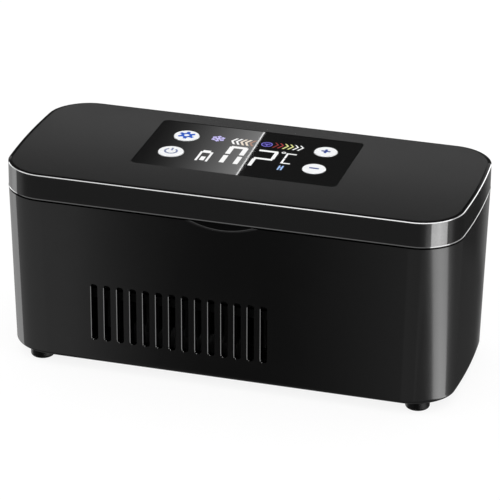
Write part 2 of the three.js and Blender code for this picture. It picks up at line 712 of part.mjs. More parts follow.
// Hot side
function heatSink() {
  const left = -SINK_LENGTH / 2;
  const pitch = (SINK_LENGTH - SINK_FIN_THICKNESS) / (SINK_FINS - 1);
  const comb = [[left, SINK_TOP]];
  for (let fin = 0; fin < SINK_FINS; fin += 1) {
    const finLeft = left + fin * pitch;
    const finRight = finLeft + SINK_FIN_THICKNESS;
    if (fin > 0) comb.push([finLeft, SINK_BASE_BOTTOM]);
    comb.push([finLeft, SINK_FIN_BOTTOM], [finRight, SINK_FIN_BOTTOM]);
    if (fin < SINK_FINS - 1) comb.push([finRight, SINK_BASE_BOTTOM]);
  }
  comb.push([-left, SINK_TOP]);
  return cut(
    slabAlongY(polygon(comb), -SINK_DEPTH / 2, SINK_DEPTH / 2),
    ...atClampScrews(SCREW_HOLE_RADIUS, SINK_BASE_BOTTOM - CUT_MARGIN, SINK_TOP + CUT_MARGIN),
    ...atFanCorners(SCREW_HOLE_RADIUS, SINK_FIN_BOTTOM - CUT_MARGIN, SINK_BASE_BOTTOM),
  );
}

const fanCorner = (corner) => [corner.x * FAN_HOLE_OFFSET, corner.y * FAN_HOLE_OFFSET, 0];
const atFanCorners = (radius, low, high) =>
  CORNERS.map((corner) => upright(radius, low, high).translate(...fanCorner(corner)));

function fanFrame() {
  const plateTop = FAN_BOTTOM + FAN_PLATE_THICKNESS;
  const ring = cut(
    slab(roundedRectangle(FAN_SIZE, FAN_SIZE, FAN_CORNER_RADIUS), FAN_BOTTOM, FAN_TOP, COARSE_ARC),
    upright(FAN_BORE_RADIUS, FAN_BOTTOM - CUT_MARGIN, FAN_TOP + CUT_MARGIN, FAN_BORE_SIDES),
  );
  const reach = FAN_BORE_RADIUS + CUT_MARGIN;
  const strut = box([-reach, -FAN_STRUT_WIDTH / 2, FAN_BOTTOM], [reach, FAN_STRUT_WIDTH / 2, plateTop]);
  const frame = join(
    ring,
    strut,
    strut.clone().rotateZ(Math.PI / 2),
    upright(FAN_HUB_RADIUS, FAN_BOTTOM, plateTop, FAN_HUB_SIDES),
    upright(FAN_SLEEVE_RADIUS, FAN_BOTTOM, FAN_SLEEVE_TOP),
  );
  return cut(
    frame,
    upright(FAN_SLEEVE_BORE, plateTop, FAN_SLEEVE_TOP + CUT_MARGIN),
    ...atFanCorners(SCREW_HOLE_RADIUS, FAN_BOTTOM - CUT_MARGIN, FAN_TOP + CUT_MARGIN),
  );
}

function fanBearing() {
  const low = FAN_BOTTOM + FAN_PLATE_THICKNESS + TOUCH_GAP;
  const high = FAN_SLEEVE_TOP;
  const outside = [[FAN_BEARING_RADIUS, low], [FAN_BEARING_RADIUS, high]];
  return turnedRing([[FAN_BEARING_BORE, low], ...outside, [FAN_BEARING_BORE, high]]);
}

function fanRotor() {
  const shaftLow = FAN_BOTTOM + FAN_PLATE_THICKNESS + FIT_GAP;
  const innerRadius = FAN_HUB_RADIUS - FAN_HUB_WALL;
  const ceiling = FAN_HUB_TOP - FAN_HUB_WALL;
  const hub = turned([
    [0, shaftLow],
    [FAN_SHAFT_RADIUS, shaftLow],
    [FAN_SHAFT_RADIUS, ceiling],
    [innerRadius, ceiling],
    [innerRadius, FAN_HUB_BOTTOM],
    [FAN_HUB_RADIUS, FAN_HUB_BOTTOM],
    [FAN_HUB_RADIUS, FAN_HUB_TOP],
    [0, FAN_HUB_TOP],
  ], FAN_HUB_SIDES);
  const root = FAN_HUB_RADIUS - FAN_HUB_WALL / 2;
  const middleZ = (FAN_HUB_BOTTOM + FAN_HUB_TOP) / 2;
  const blades = Array.from({ length: FAN_BLADES }, (_, i) =>
    new THREE.BoxGeometry(FAN_TIP_RADIUS - root, FAN_BLADE_THICKNESS, FAN_BLADE_CHORD)
      .rotateX(radians(FAN_BLADE_TILT))
      .translate((FAN_TIP_RADIUS + root) / 2, 0, middleZ)
      .rotateZ((i * 2 * Math.PI) / FAN_BLADES));
  return join(hub, ...blades);
}

// Power
function batteryCell() {
  const shoulder = CELL_LENGTH - CELL_CAP_HEIGHT;
  const can = [[0, 0], [CELL_RADIUS, 0], [CELL_RADIUS, shoulder]];
  const cap = [[CELL_CAP_RADIUS, shoulder], [CELL_CAP_RADIUS, CELL_LENGTH], [0, CELL_LENGTH]];
  return turned([...can, ...cap], CELL_SIDES).rotateY(Math.PI / 2);
}

function batteryCradle() {
  const floor = BASE_TOP + TOUCH_GAP;
  const left = CELL_LEFT - TOUCH_GAP - CRADLE_WALL;
  const right = CELL_LEFT + CELL_LENGTH + TOUCH_GAP + CRADLE_WALL;
  const top = MAIN_BOARD_BOTTOM - TOUCH_GAP;
  const plate = box([left, CRADLE_FRONT, floor], [right, CRADLE_REAR, floor + CRADLE_FLOOR]);
  const leftWall = box([left, CRADLE_FRONT, floor], [left + CRADLE_WALL, CRADLE_REAR, top]);
  const boardLip = box([left, CRADLE_FRONT, top - CRADLE_WALL], [left + CRADLE_LIP, CRADLE_REAR, top]);
  const rightWall = box([right - CRADLE_WALL, CRADLE_FRONT, floor], [right, CRADLE_REAR, top]);
  const cells = CELL_ROWS.map((row) => rodAlongX(CELL_RADIUS + FIT_GAP, CELL_LENGTH, CELL_SIDES)
    .translate(CELL_LEFT + CELL_LENGTH / 2, row.y, CELL_CENTRE_Z));
  return cut(join(plate, leftWall, boardLip, rightWall), ...cells);
}

function mainBoard() {
  const board = box(
    [MAIN_BOARD_LEFT, MAIN_BOARD_FRONT, MAIN_BOARD_BOTTOM],
    [MAIN_BOARD_RIGHT, MAIN_BOARD_REAR, MAIN_BOARD_TOP],
  );
  const low = MAIN_BOARD_TOP - TOUCH_GAP;
  const blocks = [BOARD_CHIP, BOARD_COIL, BOARD_CONNECTOR].map(({ left, right, front, rear, height }) =>
    box([left, front, low], [right, rear, MAIN_BOARD_TOP + height]));
  const capacitors = CAPACITOR_PLACES.map(([x, y]) =>
    upright(CAPACITOR_RADIUS, low, MAIN_BOARD_TOP + CAPACITOR_HEIGHT).translate(x, y, 0));
  return join(board, ...blocks, ...capacitors);
}

function chargingSocket() {
  const half = SOCKET_HALF_WIDTH;
  const housing = box([-half, SOCKET_FRONT, -half], [half, SOCKET_SHOULDER, half]);
  const nose = rodAlongY(SOCKET_NOSE_RADIUS, SOCKET_SHOULDER - CUT_MARGIN, SOCKET_NOSE_END);
  const boreEnd = SOCKET_NOSE_END - SOCKET_BORE_DEPTH;
  const bore = rodAlongY(SOCKET_BORE_RADIUS, boreEnd, SOCKET_NOSE_END + CUT_MARGIN);
  const pin = rodAlongY(SOCKET_PIN_RADIUS, boreEnd - CUT_MARGIN, SOCKET_NOSE_END - CUT_MARGIN);
  return join(cut(join(housing, nose), bore), pin);
}

// Leads
function peltierLead(shift) {
  const y = COOLER_Y + shift;
  const level = PELTIER_LEAD_LEVEL_RUN.map((run) => [PELTIER_EDGE + run, y, LEAD_LEVEL]);
  const drop = PELTIER_LEAD_DROP.map(([x, z]) => [x, y, z]);
  return tube([...level, ...drop]);
}

// The ribbon runs from the main board up the rear wall, past the hinge line and under the display board
function displayRibbon() {
  const half = RIBBON_THICKNESS / 2;
  const low = MAIN_BOARD_TOP + TOUCH_GAP + half;
  const high = DISPLAY_BOARD_BOTTOM - TOUCH_GAP - half;
  const rear = RIBBON_Y + half;
  const front = RIBBON_Y - half;
  const strip = polygon([
    [RIBBON_END_Y, low - half],
    [rear - RIBBON_BEND, low - half],
    [rear, low - half + RIBBON_BEND],
    [rear, high + half - RIBBON_BEND],
    [rear - RIBBON_BEND, high + half],
    [RIBBON_END_Y, high + half],
    [RIBBON_END_Y, high - half],
    [front - RIBBON_BEND, high - half],
    [front, high - half - RIBBON_BEND],
    [front, low + half + RIBBON_BEND],
    [front - RIBBON_BEND, low + half],
    [RIBBON_END_Y, low + half],
  ]);
  return slabAlongX(strip, RIBBON_X - RIBBON_WIDTH / 2, RIBBON_X + RIBBON_WIDTH / 2);
}

// Lid
const lidScrewPlace = (corner) => [corner.x * LID_SCREW_X, corner.y * LID_SCREW_Y, 0];
const atLidScrews = (radius, low, high) =>
  CORNERS.map((corner) => upright(radius, low, high).translate(...lidScrewPlace(corner)));

function lidShell() {
  const outside = [{ inset: SEAM_EDGE, z: LID_BOTTOM }, { inset: 0, z: LID_BOTTOM + SEAM_EDGE }];
  for (let step = 0; step <= ROUNDING_STEPS; step += 1) {
    const angle = ((step / ROUNDING_STEPS) * Math.PI) / 2;
    outside.push({ inset: LID_EDGE * (1 - Math.cos(angle)), z: LID_TOP - LID_EDGE * (1 - Math.sin(angle)) });
  }
  const gap = 2 * FIT_GAP;
  const ledge = 2 * PANEL_LEDGE;
  const recess = roundedRectangle(PANEL_LENGTH + gap, PANEL_DEPTH + gap, PANEL_RADIUS + FIT_GAP);
  const opening = roundedRectangle(PANEL_LENGTH - ledge, PANEL_DEPTH - ledge, PANEL_OPENING_RADIUS);
  const above = LID_TOP + CUT_MARGIN;
  const hollow = cut(
    caseLoft(outside),
    caseSlab(LID_WALL, LID_BOTTOM - CUT_MARGIN, LID_CEILING),
    slab(recess, PANEL_BOTTOM - TOUCH_GAP, above).translate(PANEL_X, PANEL_Y, 0),
    slab(opening, LID_CEILING - CUT_MARGIN, above).translate(PANEL_X, PANEL_Y, 0),
    hingeGroove(),
  );
  const bosses = atLidScrews(LID_BOSS_RADIUS, LINER_TOP + TOUCH_GAP, LID_CEILING + TOUCH_GAP);
  const shell = cut(
    join(hollow, ...bosses),
    ...atLidScrews(LID_SCREW_HOLE_RADIUS, LINER_TOP, LID_SCREW_TIP + FIT_GAP),
    ...caseKnuckleRods(RELIEF_RADIUS, CASE_KNUCKLE_LENGTH + 2 * KNUCKLE_GAP),
  );
  return cut(join(shell, ...stationRods(KNUCKLE_RADIUS, LID_KNUCKLE_LENGTH)), ...pinHoles());
}

function lidLiner() {
  const low = LINER_PAD_BOTTOM - CUT_MARGIN;
  const high = LINER_TOP + CUT_MARGIN;
  const padShape = roundedRectangle(LINER_PAD_LENGTH, LINER_PAD_DEPTH, LINER_PAD_RADIUS);
  const pad = slab(padShape, LINER_PAD_BOTTOM, LINER_TOP);
  return cut(
    join(caseSlab(LID_WALL + FIT_GAP, LINER_BOTTOM, LINER_TOP), pad),
    ...atLidScrews(LID_SCREW_HOLE_RADIUS, low, high),
    ...atLidScrews(LID_SCREW_HEAD_RADIUS + FIT_GAP, low, LID_SCREW_HEAD_TOP + TOUCH_GAP),
    ...atMagnets(MAGNET_POCKET_RADIUS, low, high),
    ribbonSlot(low, high),
    ...hingeReliefs(),
  );
}

function lidScrew() {
  const low = LINER_BOTTOM + TOUCH_GAP;
  return turned([
    [0, low],
    [LID_SCREW_HEAD_RADIUS, low],
    [LID_SCREW_RADIUS, LID_SCREW_HEAD_TOP],
    [LID_SCREW_RADIUS, LID_SCREW_TIP],
    [0, LID_SCREW_TIP],
  ], SCREW_SIDES);
}

function lidInsulation() {
  const left = PANEL_X - DISPLAY_BOARD_LENGTH / 2 - LID_FOAM_CLEARANCE;
  const right = PANEL_X + DISPLAY_BOARD_LENGTH / 2 + LID_FOAM_CLEARANCE;
  const front = PANEL_Y - DISPLAY_BOARD_DEPTH / 2 - LID_FOAM_CLEARANCE;
  const floor = DISPLAY_BOARD_BOTTOM - RIBBON_THICKNESS - FIT_GAP;
  const shape = roundedRectangle(LID_FOAM_LENGTH, LID_FOAM_DEPTH, LID_FOAM_RADIUS);
  return cut(
    slab(shape, LINER_TOP + TOUCH_GAP, LID_FOAM_TOP),
    box([left, front, floor], [right, LID_FOAM_DEPTH, LID_FOAM_TOP + CUT_MARGIN]),
  );
}

function lidGasket() {
  const inner = TRAY_FLANGE + GASKET_CLEARANCE;
  const outer = inner + GASKET_WIDTH;
  const shape = trayOutline(outer);
  shape.holes.push(trayOutline(inner));
  return slab(shape, DECK_TOP + GASKET_LIFT, LINER_BOTTOM - TOUCH_GAP);
}

function displayWindow() {
  const plate = slab(roundedRectangle(PANEL_LENGTH, PANEL_DEPTH, PANEL_RADIUS), PANEL_BOTTOM, PANEL_TOP);
  const low = PANEL_BOTTOM - CUT_MARGIN;
  const high = PANEL_TOP + CUT_MARGIN;
  const holes = BUTTONS.map(({ x, y, radius }) =>
    upright(radius + BUTTON_GAP, low, high, BUTTON_SIDES).translate(x, y, 0));
  return cut(plate.translate(PANEL_X, PANEL_Y, 0), ...holes);
}

function lcdModule() {
  const halfLength = LCD_LENGTH / 2;
  const halfDepth = LCD_DEPTH / 2;
  const glassHalfLength = halfLength - LCD_BEZEL;
  const glassHalfDepth = halfDepth - LCD_BEZEL;
  const glassBottom = LCD_TOP - LCD_GLASS;
  return join(
    box([-halfLength, -halfDepth, LCD_BOTTOM], [halfLength, halfDepth, glassBottom + TOUCH_GAP]),
    box([-glassHalfLength, -glassHalfDepth, glassBottom], [glassHalfLength, glassHalfDepth, LCD_TOP]),
  );
}

function displayBoard() {
  const shape = roundedRectangle(DISPLAY_BOARD_LENGTH, DISPLAY_BOARD_DEPTH, DISPLAY_BOARD_RADIUS);
  return slab(shape, DISPLAY_BOARD_BOTTOM, DISPLAY_BOARD_BOTTOM + BOARD_THICKNESS, COARSE_ARC);
}

function keySwitch() {
  const half = SWITCH_SIZE / 2;
  const low = DISPLAY_BOARD_BOTTOM + BOARD_THICKNESS + TOUCH_GAP;
  return join(
    box([-half, -half, low], [half, half, SWITCH_BODY_TOP]),
    upright(SWITCH_STEM_RADIUS, SWITCH_BODY_TOP - TOUCH_GAP, SWITCH_STEM_TOP),
  );
}

function pushButton(radius) {
  const flangeTop = PANEL_BOTTOM - TOUCH_GAP;
  const cap = radius - BUTTON_GAP;
  return turned([
    [0, BUTTON_FLANGE_BOTTOM],
    [radius + BUTTON_FLANGE, BUTTON_FLANGE_BOTTOM],
    [radius + BUTTON_FLANGE, flangeTop],
    [cap, flangeTop],
    [cap, BUTTON_TOP - BUTTON_EDGE],
    [cap - BUTTON_EDGE, BUTTON_TOP],
    [0, BUTTON_TOP],
  ], BUTTON_SIDES);
}

// Assembly
function piece(group, name, geometry, material, x = 0, y = 0, z = 0) {
  const mesh = new THREE.Mesh(geometry, material);
  mesh.name = name;
  mesh.position.set(x, y, z);
  group.add(mesh);
}

function caseGroup() {
  const group = new THREE.Group();
  piece(group, "outer_casing", outerCasing(), glossBlack);
  piece(group, "base_cover", baseCover(), mattBlack);
  piece(group, "inner_deck", innerDeck(), mattBlack);
  piece(group, "tray_insulation", trayInsulation(), foamBlack);
  piece(group, "cold_tray", coldTray(), aluminium);
  for (const corner of CORNERS) {
    const x = corner.x * FOOT_X;
    const y = corner.y * FOOT_Y;
    piece(group, `foot_${corner.name}`, rubberFoot(), rubberBlack, x, y);
    piece(group, `foot_screw_${corner.name}`, footScrew(), steel, x, y);
  }
  for (const side of SIDES) {
    const magnetBottom = DECK_TOP - MAGNET_HEIGHT - TOUCH_GAP / 2;
    const magnet = upright(MAGNET_RADIUS, magnetBottom, magnetBottom + MAGNET_HEIGHT);
    piece(group, `case_magnet_${side.name}`, magnet, nickel, side.x * MAGNET_X, MAGNET_Y);
    const pin = rodAlongX(HINGE_PIN_RADIUS, HINGE_LENGTH);
    piece(group, `hinge_pin_${side.name}`, pin, steel, side.x * HINGE_X, HINGE_Y, HINGE_Z);
  }
  return group;
}

function coolerGroup() {
  const group = new THREE.Group();
  group.position.set(COOLER_X, COOLER_Y, 0);
  piece(group, "cold_block", coldBlock(), aluminium);
  piece(group, "peltier_module", peltierModule(), ceramicWhite);
  piece(group, "heat_sink", heatSink(), anodisedBlack);
  piece(group, "fan_frame", fanFrame(), mattBlack);
  piece(group, "fan_bearing", fanBearing(), bronze);
  piece(group, "fan_rotor", fanRotor(), mattBlack);
  for (const corner of CORNERS) {
    const screw = screwUp(BASE_TOP + TOUCH_GAP, FAN_BOTTOM - TOUCH_GAP, FAN_SCREW_TIP);
    piece(group, `fan_screw_${corner.name}`, screw, steel, ...fanCorner(corner));
  }
  for (const side of SIDES) {
    const screw = screwDown(CLAMP_SCREW_TIP, CLAMP_HEAD_BOTTOM, COLD_BLOCK_TOP - TOUCH_GAP);
    piece(group, `clamp_screw_${side.name}`, screw, steel, side.x * CLAMP_SCREW_OFFSET);
  }
  return group;
}

function powerGroup() {
  const group = new THREE.Group();
  for (const row of CELL_ROWS) {
    piece(group, `battery_cell_${row.name}`, batteryCell(), cellBlue, CELL_LEFT, row.y, CELL_CENTRE_Z);
  }
  piece(group, "battery_cradle", batteryCradle(), mattBlack);
  piece(group, "main_board", mainBoard(), boardGreen);
  piece(group, "charging_socket", chargingSocket(), mattBlack, SOCKET_X, 0, SOCKET_Z);
  piece(group, "peltier_lead_red", peltierLead(-PELTIER_LEAD_OFFSET), leadRed);
  piece(group, "peltier_lead_black", peltierLead(PELTIER_LEAD_OFFSET), leadBlack);
  piece(group, "fan_lead", tube(FAN_LEAD_ROUTE), leadBlack);
  piece(group, "display_ribbon", displayRibbon(), ribbonWhite);
  return group;
}

function lidGroup() {
  const group = new THREE.Group();
  piece(group, "lid_shell", lidShell(), satinBlack);
  piece(group, "lid_liner", lidLiner(), mattBlack);
  piece(group, "lid_insulation", lidInsulation(), foamBlack);
  piece(group, "lid_gasket", lidGasket(), siliconeGrey);
  piece(group, "display_window", displayWindow(), panelBlack);
  piece(group, "lcd_module", lcdModule(), panelBlack, LCD_X, PANEL_Y);
  piece(group, "display_board", displayBoard(), boardGreen, PANEL_X, PANEL_Y);
  for (const button of BUTTONS) {
    piece(group, `${button.name}_switch`, keySwitch(), mattBlack, button.x, button.y);
    piece(group, `${button.name}_button`, pushButton(button.radius), keyWhite, button.x, button.y);
  }
  for (const corner of CORNERS) {
    piece(group, `lid_screw_${corner.name}`, lidScrew(), steel, ...lidScrewPlace(corner));
  }
  for (const side of SIDES) {
    const magnetBottom = LINER_BOTTOM + TOUCH_GAP / 2;
    const magnet = upright(MAGNET_RADIUS, magnetBottom, magnetBottom + MAGNET_HEIGHT);
    piece(group, `lid_magnet_${side.name}`, magnet, nickel, side.x * MAGNET_X, MAGNET_Y);
  }
  return group;
}

const coolingCase = new THREE.Group();
coolingCase.add(caseGroup(), coolerGroup(), powerGroup(), lidGroup());

export default coolingCase;
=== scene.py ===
import math

import bmesh
import bpy
from mathutils import Matrix, Vector


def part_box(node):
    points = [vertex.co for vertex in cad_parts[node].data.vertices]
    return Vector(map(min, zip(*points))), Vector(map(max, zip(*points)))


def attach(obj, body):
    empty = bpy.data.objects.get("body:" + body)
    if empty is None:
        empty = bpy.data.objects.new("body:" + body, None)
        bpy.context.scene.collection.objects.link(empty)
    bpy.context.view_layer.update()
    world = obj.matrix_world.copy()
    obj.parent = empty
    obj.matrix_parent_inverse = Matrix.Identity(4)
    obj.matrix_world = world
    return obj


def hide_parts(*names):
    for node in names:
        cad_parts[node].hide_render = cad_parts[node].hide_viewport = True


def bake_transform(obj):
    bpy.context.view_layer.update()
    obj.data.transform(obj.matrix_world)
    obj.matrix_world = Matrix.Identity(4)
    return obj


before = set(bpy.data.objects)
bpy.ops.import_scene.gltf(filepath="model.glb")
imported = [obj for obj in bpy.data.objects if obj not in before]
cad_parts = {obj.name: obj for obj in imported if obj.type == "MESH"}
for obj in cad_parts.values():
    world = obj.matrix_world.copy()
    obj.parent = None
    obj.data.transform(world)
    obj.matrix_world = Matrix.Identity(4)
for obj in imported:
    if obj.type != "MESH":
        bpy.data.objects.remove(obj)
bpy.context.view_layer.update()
MM = 0.001


def node_box(node):
    """Lowest and highest corner of a CAD node in millimetres."""
    low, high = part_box(node)
    return low / MM, high / MM


def node_middle(node):
    low, high = node_box(node)
    return (low + high) / 2


# Case and lid, in millimetres, with the front at -Y
lid_low, lid_high = node_box("lid_shell")
CASE_LENGTH = lid_high.x - lid_low.x
CASE_DEPTH = -2 * lid_low.y
LID_TOP = lid_high.z
BODY_BOTTOM = 4.5
CORNER_RADIUS = 17
CORNER_STEPS = 24
END_BOW = 2.6
END_STEPS = 10
SIDE_SUPPORT = 1.2
WALL_SUPPORT = 0.8
WALL = 2.8
BODY_DRAFT = 1.7
BODY_TOP = 77.45
BODY_BOTTOM_ROUNDING = 1.5
LID_BOTTOM = 78.3
LID_CEILING = 87.3
LID_WALL = 2.4
LID_LIP_HEIGHT = 0.4
LID_LIP_FLARE = 0.1
BEVEL_WIDTH = 0.29
SHOULDER_WIDTH = 1
SHOULDER_DROP = 0.22
GROOVE_WIDTH = 0.35
GROOVE_DEPTH = 0.8
ROUNDING_STEPS = 8
ROD_SIDES = 48
CUT_MARGIN = 1
FIT_GAP = 0.3
FRONT = -CASE_DEPTH / 2

# Vent slots and finger scoop in the front wall
VENT_COUNT = 14
VENT_FIRST_X = -56.8
VENT_PITCH = 5.8
VENT_WIDTH = 3
VENT_ROUNDING = 1.3
VENT_LOW = 15.1
VENT_HIGH = 41.7
VENT_CHAMFER = 0.2
VENT_FLARE_REACH = 1
VENT_STEPS = 8
SCOOP_ARC_RADIUS = 36.4
SCOOP_LOWEST = 74.1
SCOOP_DEPTH = 2
SCOOP_EDGE_HEIGHT = 0.65
SCOOP_EDGE_DEPTH = 0.24
SCOOP_SIDES = 256
SCOOP_STEPS = 10

# Hinge along the rear edge
pin_low, pin_high = node_box("hinge_pin_left")
HINGE_Y = (pin_low.y + pin_high.y) / 2
HINGE_Z = (pin_low.z + pin_high.z) / 2
HINGE_X = -(pin_low.x + pin_high.x) / 2
GROOVE_REACH = 8
GROOVE_SLOPE = math.tan(math.radians(50))
KNUCKLE_RADIUS = 2.2
KNUCKLE_GAP = 0.4
KNUCKLE_EDGE = 0.3
LID_KNUCKLE_LENGTH = 12
CASE_KNUCKLE_LENGTH = 6
PIN_HOLE_RADIUS = 1.3

# Hole for the charging socket in the rear wall
SOCKET_HOLE_RADIUS = 4.3
SOCKET_HOLE_FRONT = 30

# Cold tray and what lies round it
TRAY_LENGTH = 168
TRAY_DEPTH = 56
TRAY_RADIUS = 5.2
TRAY_WALL = 1.2
TRAY_FLANGE = 2.5
TRAY_FLANGE_THICKNESS = 0.8
TRAY_FLOOR_ROUNDING = 3.5
GASKET_INNER = 3.3
GASKET_WIDTH = 3
GASKET_STEPS = 24

# Display panel and keys
panel_low, panel_high = node_box("display_window")
PANEL_MIDDLE = (panel_low + panel_high) / 2
PANEL_LENGTH = panel_high.x - panel_low.x
PANEL_DEPTH = panel_high.y - panel_low.y
PANEL_TOP = panel_high.z
PANEL_BOTTOM = panel_low.z
PANEL_RADIUS = 2.2
PANEL_LEDGE = 3.2
PANEL_SEAT_GAP = 0.1
PANEL_OPENING_RADIUS = 2
PANEL_EDGE = 0.18
PANEL_EDGE_STEPS = 4
KEY_FLANGE = 0.85
KEY_FLANGE_TOP = 88.5
KEY_EDGE = 0.45
KEY_TOP_SUPPORT = 0.5
KEY_SIDES = 96
FIGURE_THICKNESS = 0.04


# Rings of points
QUARTERS = ((1, 1), (-1, 1), (-1, -1), (1, -1))


def case_outline(inset, radius=None):
    """Points round the case plan at an inset from its outline, anticlockwise from the rear right corner."""
    half_length = CASE_LENGTH / 2 - END_BOW - inset
    half_depth = CASE_DEPTH / 2 - inset
    if radius is None:
        radius = CORNER_RADIUS - inset
    reach = half_length - radius
    straight = half_depth - radius
    support = reach - SIDE_SUPPORT
    points = []
    for quarter, (side_x, side_y) in enumerate(QUARTERS):
        for step in range(CORNER_STEPS + 1):
            angle = (quarter + step / CORNER_STEPS) * math.pi / 2
            x = side_x * reach + radius * math.cos(angle)
            y = side_y * straight + radius * math.sin(angle)
            points.append((x, y))
        if quarter % 2 == 0:
            points += [(side_x * support, side_y * half_depth), (-side_x * support, side_y * half_depth)]
        else:
            for step in range(1, END_STEPS):
                points.append((side_x * half_length, side_y * straight * (1 - 2 * step / END_STEPS)))
    bowed = []
    for x, y in points:
        bow = END_BOW * (1 - (y / half_depth) ** 2)
        bowed.append((x + math.copysign(bow, x), y))
    return bowed


def rounded_rectangle(width, depth, radius, centre=(0, 0), steps=12):
    points = []
    for quarter, (side_x, side_y) in enumerate(QUARTERS):
        for step in range(steps + 1):
            angle = (quarter + step / steps) * math.pi / 2
            x = centre[0] + side_x * (width / 2 - radius) + radius * math.cos(angle)
            y = centre[1] + side_y * (depth / 2 - radius) + radius * math.sin(angle)
            points.append((x, y))
    return points


def circle(radius, centre=(0, 0), sides=64):
    angles = [2 * math.pi * side / sides for side in range(sides)]
    return [(centre[0] + radius * math.cos(a), centre[1] + radius * math.sin(a)) for a in angles]


def at_height(outline, z):
    return [(x, y, z) for x, y in outline]


def quarter_angles(steps=ROUNDING_STEPS):
    return [step / steps * math.pi / 2 for step in range(steps + 1)]


def rounded_levels(low, high, low_edge, high_edge, steps=ROUNDING_STEPS):
    """Insets and heights up a wall whose lower and upper edges are rounded."""
    levels = []
    for angle in quarter_angles(steps):
        levels.append((low_edge * (1 - math.sin(angle)), low + low_edge * (1 - math.cos(angle))))
    for angle in quarter_angles(steps):
        levels.append((high_edge * (1 - math.cos(angle)), high - high_edge * (1 - math.sin(angle))))
    return levels


# Closed forms in millimetres
SAME_POINT = 1e-5
NO_LENGTH = 1e-6


def loft(rings, closed=False):
    """A closed form through rings of points, either capped at both ends or joined back to its first ring."""
    form = bmesh.new()
    rows = [[form.verts.new(point) for point in ring] for ring in rings]
    pairs = list(zip(rows, rows[1:]))
    if closed:
        pairs.append((rows[-1], rows[0]))
    for lower, upper in pairs:
        for i in range(len(lower)):
            j = (i + 1) % len(lower)
            form.faces.new((lower[i], lower[j], upper[j], upper[i]))
    if not closed:
        form.faces.new(rows[0][::-1])
        form.faces.new(rows[-1])
    bmesh.ops.remove_doubles(form, verts=form.verts, dist=SAME_POINT)
    bmesh.ops.dissolve_degenerate(form, edges=form.edges, dist=NO_LENGTH)
    bmesh.ops.recalc_face_normals(form, faces=form.faces)
    return form


def prism(outline, low, high):
    return loft([at_height(outline, low), at_height(outline, high)])


def turned(profile, sides=64, closed=False):
    """A form turned about the Z axis from radii and heights."""
    return loft([at_height(circle(radius, sides=sides), z) for radius, z in profile], closed)


def moved(form, x=0, y=0, z=0):
    bmesh.ops.translate(form, verts=form.verts, vec=(x, y, z))
    return form


def rotated(form, axis, degrees):
    bmesh.ops.rotate(form, verts=form.verts, matrix=Matrix.Rotation(math.radians(degrees), 3, axis))
    return form


def mesh_of(name, form):
    mesh = bpy.data.meshes.new(name)
    form.to_mesh(mesh)
    form.free()
    return mesh


def placed(name, data):
    """A mesh or a camera as an object of the scene."""
    item = bpy.data.objects.new(name, data)
    bpy.context.scene.collection.objects.link(item)
    return item


def together(*forms):
    """Several forms that don't touch, as one."""
    whole = bmesh.new()
    for form in forms:
        mesh = mesh_of("form", form)
        whole.from_mesh(mesh)
        bpy.data.meshes.remove(mesh)
    return whole


def bench_object(form):
    return placed("form", mesh_of("form", form))


def worked(form, tool, operation):
    """The form after a tool is cut from it or joined to it."""
    blank = bench_object(form)
    bit = bench_object(tool)
    step = blank.modifiers.new("work", "BOOLEAN")
    step.operation = operation
    step.solver = "MANIFOLD"
    step.object = bit
    result = bmesh.new()
    result.from_object(blank, bpy.context.evaluated_depsgraph_get())
    for item in (blank, bit):
        mesh = item.data
        bpy.data.objects.remove(item)
        bpy.data.meshes.remove(mesh)
    return result


def cut(form, *tools):
    for tool in tools:
        form = worked(form, tool, "DIFFERENCE")
    return form


def joined(form, *others):
    for other in others:
        form = worked(form, other, "UNION")
    return form


def rod_along_x(radius, length, x, y, z, edge=0.0):
    half = length / 2
    profile = [(0, -half), (radius - edge, -half), (radius, -half + edge), (radius, half - edge)]
    profile += [(radius - edge, half), (0, half)]
    return moved(rotated(turned(profile, ROD_SIDES), "Y", 90), x, y, z)


def rod_along_y(radius, front, rear, x, z):
    rod = turned([(0, front), (radius, front), (radius, rear), (0, rear)], ROD_SIDES)
    return moved(rotated(rod, "X", -90), x, 0, z)


# Shader nodes
def fill(tree, node, inputs):
    """Gives a node's sockets plain values or the outputs of other nodes."""
    for label, value in inputs.items():
        if isinstance(value, bpy.types.NodeSocket):
            tree.links.new(value, node.inputs[label])
        else:
            node.inputs[label].default_value = value


def add_node(tree, kind, inputs):
    node = tree.nodes.new("ShaderNode" + kind)
    fill(tree, node, inputs)
    return node


def calculated(tree, operation, *values):
    """The result of an arithmetic step on plain numbers and the outputs of other nodes."""
    node = tree.nodes.new("ShaderNodeMath")
    node.operation = operation
    fill(tree, node, dict(enumerate(values)))
    return node.outputs[0]


def mixed(tree, factor, lower, upper, blend="MIX"):
    """A colour mixed from two others."""
    node = tree.nodes.new("ShaderNodeMix")
    node.data_type = "RGBA"
    node.blend_type = blend
    fill(tree, node, {"Factor": factor, "A": lower, "B": upper})
    return node.outputs["Result"]


def share_between(tree, value, low, high, lowest=0, highest=1):
    """How far a value has come between two limits, from nought to one or between two other values."""
    inputs = {"Value": value, "From Min": low, "From Max": high, "To Min": lowest, "To Max": highest}
    return add_node(tree, "MapRange", inputs).outputs["Result"]


# Shared effects
def effect_group(name, density_kind):
    """A new group with the sockets that every effect has, and what it is given."""
    colour, number = "NodeSocketColor", "NodeSocketFloat"
    group = bpy.data.node_groups.new(name, "ShaderNodeTree")
    inputs = {"Dark": colour, "Light": colour, "Density": density_kind}
    inputs |= {"Smoothest": number, "Roughest": number}
    for label, kind in inputs.items():
        group.interface.new_socket(label, in_out="INPUT", socket_type=kind)
    for label, kind in {"Colour": colour, "Roughness": number, "Height": number}.items():
        group.interface.new_socket(label, in_out="OUTPUT", socket_type=kind)
    return group, group.nodes.new("NodeGroupInput").outputs


